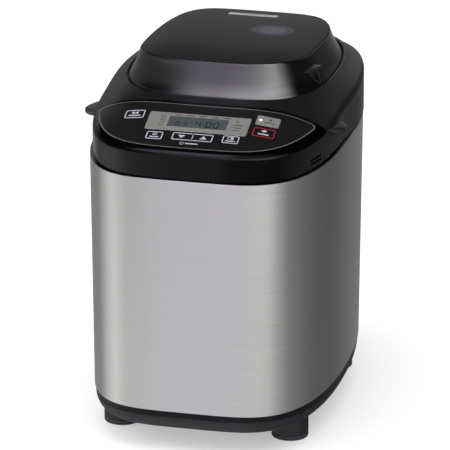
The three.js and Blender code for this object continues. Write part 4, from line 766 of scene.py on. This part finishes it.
def corners_of(half_x, half_y, corner, x=0, y=0):
    return [(point.x, point.y) for point in rounded_ring(x, y, half_x, half_y, corner, 0, steps=3)]


# Each sign has closed outlines with their widths, filled patches, and bars given by their left and
# right ends, their height on the key and their width.
key_signs = {
    "menu": ([], [
        [(-3.4, 3.8), (-3.4, 0.8), (-0.4, 0.4), (-0.4, 3.4)],
        [(0.4, 3.4), (0.4, 0.4), (3.4, 0.8), (3.4, 3.8)],
    ], [(-6, 6, -2.2, 1.7)]),
    "size": ([(oval(0, 2, 2, 1.6, 12), 0.9)], [], [(-4.6, 4.6, -2.3, 1.6)]),
    "timer_down": ([], [[(-3.6, 2.2), (0, -2.6), (3.6, 2.2)]], []),
    "timer_up": ([], [[(-3.6, -2.2), (3.6, -2.2), (0, 2.6)]], []),
    "crust": (
        [(corners_of(2.8, 1.7, 0.6, -0.4, 2), 0.7)], [[(0, 3.6), (0, 0.4), (2.3, 0.4), (2.3, 3.6)]],
        [(-4.8, 4.8, -2.3, 1.6)],
    ),
    "start": ([], [[(2, 4), (0.2, 2.2), (2, 0.4), (3.8, 2.2)]], [(-3, 7.6, -2.6, 1.3)]),
    "stop": ([], [oval(0, 2.6, 2.6, 1.7)], [(-5.4, 5.4, -2.4, 1.8)]),
}
line_width, cap_top = 1.1, 0.56
for name, (x, y, width, depth) in key_places.items():
    half_x, half_y, start = width / 2, depth / 2, name == "start"
    bm = key_shape(
        x, y, (half_x, half_y, 2, -4), (half_x, half_y, 2, 0.1), (half_x - 0.1, half_y - 0.1, 1.9, 0.35),
        (half_x - 0.35, half_y - 0.35, 1.65, 0.5), (half_x * 0.5, half_y * 0.5, 0.8, 0.5),
    )
    add_piece(bm, f"{name}_key_cap", silver if start else satin_black, f"{name}_key", [f"{name}_button"])
    bm = bmesh.new()
    if name.startswith("timer"):
        side = 1 if name == "timer_down" else -1
        upper = [(half_x - 0.3, half_y - 1.4), (2.2 - half_x, half_y - 1.4), (1.5 - half_x, half_y - 2.1)]
        path = upper + [(across, -along) for across, along in reversed(upper)]
        draw_line(bm, x, y, [(side * across, along) for across, along in path], line_width, cap_top)
    elif not start:
        edge = corners_of(half_x - line_width, half_y - line_width, 1.5)
        draw_line(bm, x, y, edge, line_width, cap_top, closed=True)
    if name == "stop":
        add_piece(bm, "stop_key_line", print_red, "stop_key")
        bm = bmesh.new()
    outlines, patches, bars = key_signs[name]
    for path, width in outlines:
        draw_line(bm, x, y, path, width, cap_top, closed=True)
    for points in patches:
        draw_patch(bm, x, y, points, cap_top)
    for left, right, along, width in bars:
        draw_bar(bm, x, y, left, right, along, width, cap_top)
    add_piece(bm, f"{name}_key_marks", print_dark if start else print_white, f"{name}_key")
bm = bmesh.new()
draw_patch(bm, *key_places["start"][:2], oval(-7.2, 0, 1.6, 1.6), 0.7)
add_piece(bm, "start_key_lamp", lamp_white, "start_key")
bm = bmesh.new()
timer_y, sign_y = key_places["timer_up"][1], -143.4
draw_line(bm, 0, sign_y, oval(-8.5, 0, 1.9, 1.9), 0.5, 0.1, closed=True)
draw_bar(bm, 0, sign_y, -5, 7.5, 0, 1.6, 0.1)
draw_line(bm, 0, timer_y, [(0, 3), (0, -3)], 0.8, 0.3)
for along in (-5.1, 5.1):
    draw_bar(bm, 0, timer_y, -0.7, 0.7, along, 1.1, 0.4)
add_piece(bm, "timer_marks", print_white, "housing")


# Main lid: a satin black moulding hinged at the rear. Its rounded sides come down to the housing, its
# deck carries the dispenser lid, and a leaf-shaped grip stands out at each side.
def rod(x, y, z, half, radius, axis="Y", segments=40):
    bm = bmesh.new()
    bmesh.ops.create_cone(
        bm, cap_ends=True, segments=segments, radius1=radius, radius2=radius, depth=2 * half,
        matrix=Matrix.Translation((x, y, z)) @ Matrix.Rotation(pi / 2, 4, axis)
    )
    return bm


def add_shape(bm, *others):
    for other in others:
        mesh = mesh_of(other)
        bm.from_mesh(mesh)
        bpy.data.meshes.remove(mesh)


lid_black = finish("lid_black", (0.0105, 0.0105, 0.011), 0.1, 0.36, 1600, 0.12, specular=0.4)
bm = cut_shape(crown(0, 0, 280, fillet=3.5), behind_seam(0.6, bottom=289.4, corner=5), operation="INTERSECT")
hinge_y, hinge_z = 204, 292
for x in (-50, 50):
    web = block(x - 9.5, x + 9.5, 188.5, hinge_y, 289.5, 297)
    bm = cut_shape(bm, rod(x, hinge_y, hinge_z, 9.5, 5), web, operation="UNION")
dome_hinge_y, dome_hinge_z, dome_rod = 172.5, 347.6, 3.2
for x in (-17.8, 17.8):
    web = block(x - 2.5, x + 2.5, dome_hinge_y - dome_rod, dome_hinge_y + dome_rod, 338, dome_hinge_z)
    bm = cut_shape(bm, rod(x, dome_hinge_y, dome_hinge_z, 2.5, dome_rod), web, operation="UNION")
hollow = cut_shape(crown(wall, wall, 270), behind_seam(2.9), operation="INTERSECT")
raisin, yeast = (-30, 47.5), (46, 30)
bm = cut_shape(bm, hollow, prism(*raisin, 42.3, 41.3, 6, 270, 390), prism(*yeast, 16.3, 16.3, 4, 270, 390))
add_piece(bm, "main_lid", lid_black, "lid", ["lid_cover"], sharp=35)
grip_front, grip_length, grip_reach, grip_top = -61, 34, 12.2, 317.6
angles = [pi / 2 * step / 10 for step in range(10)]
grip_section = [(min(1.2 * sin(angle) ** 0.9, 1), cos(angle) ** 1.5, 0) for angle in angles]
grip_section += [(cos(angle) ** 0.6, 0, sin(angle) ** 0.75) for angle in angles] + [(0, 0, 1)]
for side, name in ((-1, "left"), (1, "right")):
    rings = []
    for step in range(33):
        share = step / 32
        y = grip_front + grip_length * share
        reach = sin(pi * share ** 0.9) ** (1.4 if share < 0.46 else 0.7) if 0 < step < 32 else 0
        root, span = wall_at(y) * spread_at(y) - 2, 2 + grip_reach * reach
        lip, foot = 317.3 - 4.6 * reach ** 0.75, 317 - 9.4 * reach ** 0.75
        rings.append([
            Vector((side * (root + span * across), y, lip + (grip_top - lip) * high + (foot - lip) * low))
            for across, high, low in grip_section
        ])
    add_piece(shell(capped(rings)), f"lid_grip_{name}", lid_black, "lid", sharp=50)


# Lid lining and seal: a pressed aluminium plate under the lid, with a soft silicone ring below it
# that closes on the deck round the oven mouth.
lining_plan, lining_z = grown(top_plan, -2.9), 294
rows = ((-16, lining_z), (-15, 294.7), (-12, 294.7), (-11, lining_z), (0, lining_z), (0, 295.5))
bm = solid((0, 0, lining_z), plan_rings(lining_plan, *rows, ring=spread_ring), (0, 0, 295.5))
bm = cut_shape(bm, behind_seam(3.3), operation="INTERSECT")
bm = cut_shape(bm, prism(*raisin, 28.3, 30.3, 6, 280, 300), prism(*yeast, 15.3, 15.3, 4, 280, 300))
add_piece(bm, "lid_plate", cast_aluminium, "lid", ["lid_lining"])
silicone = finish("silicone", (0.16, 0.15, 0.14), 0.08, 0.7, 700, 0.2)


def mouth_ring(spread, z):
    x, y, half_x, half_y, corner = oven_mouth
    return rounded_ring(x, y, half_x + spread, half_y + spread, corner + spread, z)


bm = stack(
    mouth_ring, (8, 290.5), (8, 293.2), (7.5, 293.7), (2.5, 293.7), (2, 293.2), (2, 290.3), (3.2, 288.8),
    (4, 288.55), (6, 288.55), (7.2, 289), (8, 290.5),
)
add_piece(bm, "lid_seal_ring", silicone, "lid", ["lid_seal"])


# Hoppers: a large one for nuts and raisins and a small one for yeast, coated cups let into the
# lid from above. A sprung flap under each drops its filling into the pan.
nonstick = finish("nonstick", (0.021, 0.021, 0.022), 0.4, 0.5, 2600, 0.2, specular=0.4)
hoppers = (
    ("ingredient", "ingredient_dispenser", *raisin, 42, 41, 25, 27, 6, -1, "dispenser_flap"),
    ("yeast", "yeast_dispenser", *yeast, 16, 16, 12, 12, 4, 1, "yeast_flap"),
)
hopper_foot = 292.3
cup_rows = (
    (0, 1.5, 341.8), (4, 4, 341.8), (4, 4, 342.9), (3.6, 3.6, 343.3), (-0.7, 0, 343.3), (-1.5, 0, 342.4),
)
for name, node, x, y, half_x, half_y, throat_x, throat_y, corner, side, flap in hoppers:
    rings = [rounded_ring(x, y, throat_x + 1.5, throat_y + 1.5, corner + 1.5, hopper_foot)]
    for wider, rounder, z in cup_rows:
        rings.append(rounded_ring(x, y, half_x + wider, half_y + wider, corner + rounder, z))
    rings.append(rounded_ring(x, y, throat_x, throat_y, corner, hopper_foot))
    bm = shell(rings + rings[:1])
    pivot_x, pivot_z, lug = x + side * (throat_x + 3.5), 290.5, throat_y + 1.4
    lug_x = (pivot_x + side * 1.5, pivot_x - side * (3.5 + 2 * corner))
    for end in (-1, 1):
        lug_y, far_y, web_y = (y + end * reach for reach in (lug, lug + 3, throat_y + 0.7))
        add_shape(bm, block(*lug_x, lug_y, far_y, 288.7, 293.3, edge=0.5))
        add_shape(bm, block(*lug_x, web_y, far_y, hopper_foot, 293.3))
    add_piece(bm, f"{name}_hopper", nonstick, "lid", [node])
    along = throat_y + 1
    bm = block(pivot_x, x - side * (throat_x + 1), y - along, y + along, 290, 292, edge=0.4)
    for radius, half in ((1.5, along), (1, along + 3)):
        add_shape(bm, rod(pivot_x, y, pivot_z, half, radius, axis="X", segments=24))
    add_piece(bm, f"{name}_drop_flap", nonstick, flap, [flap])


# Rear cover: a satin black box screwed on behind the steel, with louvres, the lugs of the lid hinge
# and a soft ring for the cord. The cord itself isn't part of this machine's model.
cover_half = 75
bm = block(-cover_half, cover_half, 160, 228, 62, 283, edge=8, segments=5)
rings = plan_rings(foot_plan, (0.25, 40)) + plan_rings(body_plan, (0.35, 295))
clear = solid((0, 0, 40), rings, (0, 0, 295))
hollow = block(wall - cover_half, cover_half - wall, 140, 225.5, 64.5, 280.5, edge=5)
louvre_half, louvre_heights = 48.7, [255 - 10 * step for step in range(6)]
slots = [block(-louvre_half, louvre_half, 222, 240, z - 2, z + 2, edge=0.6) for z in louvre_heights]
inlet_y, inlet_z = 214, 90
bm = cut_shape(bm, clear, hollow, *slots, rod(cover_half, inlet_y, inlet_z, 15, 7.3))
for z in louvre_heights:
    fin = block(-louvre_half, louvre_half, -0.6, 0.6, -3.4, 3.4, edge=0.3)
    add_shape(bm, turned(fin, radians(-38), "X", (0, 225.2, z)))
for x in (-63.1, -36.9, 36.9, 63.1):
    lug = block(x - 3, x + 3, 200.6, 209, 279, hinge_z, edge=0.4)
    add_shape(bm, rod(x, hinge_y, hinge_z, 3, 5), lug)
add_piece(bm, "back_cover", satin_black, "housing", ["rear_cover"], sharp=35)
bm = bmesh.new()
turn_profile(bm, [
    (4, -6), (7, -6), (7, 0.3), (10, 0.3), (10, 1.8), (9.5, 2.3), (8.2, 2.9), (7.4, 4), (7.2, 7.4),
    (6.6, 8), (4.5, 8), (4, 7.5), (4, -6),
])
bm = turned(bm, pi / 2, "Y", (cover_half, inlet_y, inlet_z))
add_piece(bm, "cord_gland", rubber, "housing", ["cord_inlet"])
dress(bright_steel, "lid_hinge_pin_left", "lid_hinge_pin_right", "dispenser_lid_pin")


# Dispenser lid: a glossy sloping skirt round a matt domed cap, hinged on the main lid at the rear.
# The skirt has a scooped recess on the right for a fingertip.
ridge_plan = (86.6, 110, 110.4, dome_y, 3.9, 3.6, 2.7)
skirt_foot = 342.1
cap_peak_y, cap_peak_z, cap_front_bow, cap_rear_bow, cap_drop = -7.9, 382.8, 630, 1498, 11.5


def cap_height(x, y):
    bow = cap_front_bow if y < cap_peak_y else cap_rear_bow
    return cap_peak_z - (y - cap_peak_y) ** 2 / bow - cap_drop * abs(x / ridge_plan[0]) ** 6.6


def cap_ring(outline, sink):
    return plan_ring(outline, lambda x, y: cap_height(x, y) - sink)


dome_black = finish(
    "dome_black", (0.003, 0.003, 0.0033), 0.1, 0.16, 400, 0.01, specular=1.0, more={"IOR": 1.74}
)
cap_matt = finish("cap_matt", (0.009, 0.009, 0.0092), 0.06, 0.5, 1800, 0.16)
low, high = plan_ring(dome_plan, skirt_foot), cap_ring(ridge_plan, 0)
inner_low, inner_high = plan_rings(dome_plan, (-2.8, skirt_foot))[0], cap_ring(grown(ridge_plan, -2.6), 2.6)
rings = plan_rings(dome_plan, (-1.2, skirt_foot), (-0.55, skirt_foot + 0.25))
for share in (0.03, 0.1, 0.2, 0.3, 0.4, 0.5, 0.6, 0.7, 0.8, 0.9, 0.97):
    narrow = 1 - 0.06 * share * (1 - share)
    rings.append([
        Vector((x * narrow, dome_y + (y - dome_y) * narrow, z)) for x, y, z in between_rings(low, high, share)
    ])
rings += plan_rings(ridge_plan, (-0.25, 0.3), (-0.7, 0.2), (-0.7, 2), ring=cap_ring)
rings += [inner_high, between_rings(inner_low, inner_high, 0.5), inner_low]
bm = shell(rings + rings[:1])
tab_turn, tab_place, slant = radians(-12), Vector((90.4, -9, 360)), 0.45


def at_tab(bm, lean=True):
    if lean:
        for vert in bm.verts:
            vert.co.x -= slant * vert.co.z
    return turned(bm, tab_turn, "Z", tab_place)


scoop_curves = (
    ((-8.8, -0.3), (-5.5, -8), (5.5, -13.8)), ((5.5, -13.8), (9.2, -8), (8.8, -0.3)),
    ((8.8, -0.3), (0, -0.3), (-8.8, -0.3)),
)


def scoop_ring(x, spread=0.0):
    ring = []
    for curve in scoop_curves:
        for share in (step / 12 for step in range(12)):
            weights = ((1 - share) ** 2, 2 * share * (1 - share), share ** 2)
            y, z = (sum(weight * part for weight, part in zip(weights, parts)) for parts in zip(*curve))
            ring.append(Vector((x, y + spread * y / 9, z + spread * (z + 6) / 7)))
    return ring


def scoop_prism(x0, x1, spread=0.0):
    return at_tab(solid((x0, 2, -5), [scoop_ring(x, spread) for x in (x0, x1)], (x1, 2, -5)))


bm = cut_shape(bm, scoop_prism(-6, 12))
web = block(-15, 15, 164.5, dome_hinge_y, 346, 350.8, edge=0.6)
add_shape(bm, rod(0, dome_hinge_y, dome_hinge_z, 15, dome_rod), web)
add_piece(bm, "dome_side", dome_black, "dispenser_lid", ["dome_skirt"], sharp=40)
steam_y = 116
steam_place = (0, steam_y, cap_height(0, steam_y))
steam_slope = -atan(2 * (steam_y - cap_peak_y) / cap_rear_bow)
cap_plan = grown(ridge_plan, -1)
bm = shell([
    *(cap_ring(scaled(cap_plan, share), 2.2) for share in (0, 0.5, 1)),
    *plan_rings(cap_plan, (0, 0.9), (-0.2, 0.4), (-0.7, 0.08), ring=cap_ring),
    *(cap_ring(scaled(grown(cap_plan, -1.4), share / 10), 0) for share in range(10, -1, -1)),
])
bm = cut_shape(bm, turned(prism(0, 0, 25.8, 6.3, 3.2, -8, 8), steam_slope, "X", steam_place))
add_piece(bm, "dome_top", cap_matt, "dispenser_lid", ["dome_cap"], sharp=40)


# Finger tab: a short bar over the recess, with a raised lip round the scoop and a pocket behind it.
# It is moulded in satin black and clipped into the skirt.
def tube(path, radius, normal, sides):
    rings = []
    for step, point in enumerate(path):
        ahead = path[min(step + 1, len(path) - 1)] - path[max(step - 1, 0)]
        across = ahead.cross(normal).normalized()
        up = across.cross(ahead).normalized()
        rings.append([
            point + radius * (across * cos(2 * pi * side / sides) + up * sin(2 * pi * side / sides))
            for side in range(sides)
        ])
    return solid(path[0], rings, path[-1])


tab_black = finish("tab_black", (0.016, 0.016, 0.017), 0.1, 0.32, 1200, 0.1)
pocket = at_tab(block(-7.5, -1.6, -11.3, 11.3, -15.5, 1.5, edge=0.8))
bm = cut_shape(pocket, scoop_prism(-5, 12, 0.1))
bar = bmesh.new()
wedge = [(-3, -11.5), (1, -11.5), (6, 11.5), (-3, 11.5)]
foot = bar.faces.new([bar.verts.new((*spot, -0.1)) for spot in wedge])
made = bmesh.ops.extrude_face_region(bar, geom=[foot])
raised = [part for part in made["geom"] if isinstance(part, bmesh.types.BMVert)]
bmesh.ops.translate(bar, verts=raised, vec=(0, 0, 2.9))
bmesh.ops.bevel(
    bar, geom=bar.edges[:], offset=0.7, offset_type="OFFSET", affect="EDGES", segments=4,
    profile=0.5, material=-1, clamp_overlap=True
)
bar = at_tab(bar, lean=False)
lip = tube(scoop_ring(0.1, 0.5)[:25], 0.55, Vector((1, 0, 0)), 10)
add_shape(bm, bar, at_tab(lip))
add_piece(bm, "finger_lift", tab_black, "dispenser_lid", ["finger_tab"])


# Steam vent: a pale grey plastic grille with three slots. It is pressed into the rear of the cap
# from above, and lies along its slope.
pale_grey = finish("pale_grey", (0.46, 0.46, 0.45), 0.05, 0.5, 900, 0.1)
bm = prism(0, 0, 25.5, 6, 3, -3, 0.4, edge=0.3)
bm = cut_shape(bm, *(block(-21.5, 21.5, 4 * row - 1, 4 * row + 1, -10, 10, edge=0.9) for row in (-1, 0, 1)))
bm = turned(bm, steam_slope, "X", steam_place)
add_piece(bm, "steam_grille", pale_grey, "dispenser_lid", ["steam_vent"])


# Round mark: a violet disc with a darker rim on the right of the cap. It is a thin printed foil,
# stuck on.
disc_violet = finish("disc_violet", (0.085, 0.074, 0.096), 0.05, 0.5, 900, 0.05, specular=0.4)
disc_rim = finish("disc_rim", (0.046, 0.044, 0.068), 0.05, 0.5, 900, 0.05, specular=0.4)
disc_x, disc_y, disc_edge = 37.4, 45, 13.5
rows = ((21.5, -0.3), (21.5, 0.06), (21.3, 0.12), *((radius, 0.12) for radius in (17, disc_edge, 9, 4, 0)))
bm = shell([
    [Vector((x, y, cap_height(x, y) + lift)) for x, y in oval(disc_x, disc_y, radius, radius, 72)]
    for radius, lift in rows
])
for face in bm.faces:
    x, y, z = face.calc_center_median()
    face.material_index = 0 if (x - disc_x) ** 2 + (y - disc_y) ** 2 < disc_edge ** 2 else 1
add_piece(bm, "round_mark", [disc_violet, disc_rim], "dispenser_lid")


# Oven chamber: a folded aluminium tub with a rounded floor edge and a top flange, which hangs under
# the deck. The heating element is a steel tube bent round the pan, with both ends out in front.
def hole_ring(radius, z):
    return rounded_ring(0, oven_y, radius, radius, radius, z)


rim_rows = (
    (-6, 93), (-3, 93.8), (-0.8, 96), (0, 99), (0, 285), (0.3, 285.4), (7, 285.4), (7, 284.4), (1, 284.4),
    (1, 98.6), (0, 95.2), (-2.6, 92.9), (-5.6, 92),
)
bm = shell([
    *(hole_ring(*row) for row in ((12.3, 92), (12.3, 93), (60, 93))), *(mouth_ring(*row) for row in rim_rows),
    hole_ring(60, 92), hole_ring(12.3, 92),
])
chamber_metal = finish(
    "chamber_aluminium", (0.42, 0.425, 0.43), 0.12, 0.42, 240, 0.15, metal=1.0, stretch=(1, 1, 3)
)
add_piece(bm, "oven_tub", chamber_metal, "housing", ["oven_chamber"])
heater_z, heater_bend = 128, 28
path = [(16, -74), (16, -60), (16, -49)]
path += [(21 - 5 * cos(pi * step / 8), -49 + 5 * sin(pi * step / 8)) for step in range(1, 5)]
for x, y, start in ((51, -16, -pi / 2), (51, 126, 0)):
    angles = [start + pi * step / 16 for step in range(9)]
    path += [(x + heater_bend * cos(angle), y + heater_bend * sin(angle)) for angle in angles]
path += [(-x, y) for x, y in reversed(path)]
heater_steel = finish("heater_steel", (0.07, 0.068, 0.066), 0.2, 0.45, 300, 0.15, metal=1.0)
bm = tube([Vector((x, y, heater_z)) for x, y in path], 3.2, Vector((0, 0, 1)), 18)
add_piece(bm, "heating_element", heater_steel, "housing", ["heater_element"])


# Bread pan: a deep drawn, coated aluminium pan with a rolled rim and an ear on each side for the
# wire handle. It turns to lock in the ring on the oven floor.
pan_foot, pan_depth = 117, 151


def pan_ring(spread, z):
    draft = 6 * (1 - min(max((z - pan_foot) / pan_depth, 0), 1))
    return rounded_ring(0, oven_y, 66 - draft + spread, 92 - draft + spread, 26 + spread, z)


pan_rows = (
    (-11, 118.5), (-6.5, 119.4), (-3.4, 121.8), (-1.9, 125.5), (-1.5, 130), (-1.5, 265.8), (-1.2, 267.2),
    (-0.3, 267.9), (1, 268), (2.3, 267.7), (3, 266.6), (2.7, 265.3), (1.6, 264.6), (0.3, 264.9), (0, 264),
    (0, 129), (-0.6, 123.6), (-2.6, 119.6), (-6, 117.5), (-9.5, pan_foot),
)
bm = shell([
    *(hole_ring(*row) for row in ((10.3, pan_foot), (10.3, 118.5), (40, 118.5))),
    *(pan_ring(*row) for row in pan_rows), hole_ring(40, pan_foot), hole_ring(10.3, pan_foot),
])
for side in (-1, 1):
    add_shape(bm, block(side * 65.2, side * 69, oven_y - 8, oven_y + 8, 250.5, 266, edge=1.2))
add_piece(bm, "baking_pan", nonstick, "pan", ["bread_pan"])
half = [(66.6, 0), (68.6, 0), (70.6, 0)]
half += [(70.6 + 3 * sin(pi * step / 10), 3 - 3 * cos(pi * step / 10)) for step in range(1, 6)]
half += [(73.6, 14), (73.6, 28), (73.6, 42)]
half += [(58.6 + 15 * cos(pi * step / 16), 47 + 15 * sin(pi * step / 16)) for step in range(9)]
half += [(30, 62)]
path = [Vector((x, y, 0)) for x, y in half + [(-x, y) for x, y in reversed(half)]]
bm = turned(tube(path, 2.5, Vector((0, 0, 1)), 16), radians(15), "X", (0, oven_y, 256))
add_piece(bm, "wire_handle", bright_steel, "handle", ["pan_handle"])
bm = bmesh.new()
turn_profile(bm, [
    (0, 143), (6.5, 143), (9, 142.4), (10.4, 140.8), (11, 138), (11, 121.6), (0, 121.6),
], 0, oven_y)
fin, bend_z = block(5.5, 52, oven_y - 2.5, oven_y + 2.5, 121.6, 145.5, edge=2, segments=4), 133
for vert in fin.verts:
    if vert.co.z > bend_z:
        vert.co.y += 0.12 * (vert.co.z - bend_z)
        vert.co.x -= 0.35 * (vert.co.z - bend_z) * (vert.co.x > 30)
add_shape(bm, fin)
add_piece(bm, "dough_blade", nonstick, "blade", ["kneading_blade"])
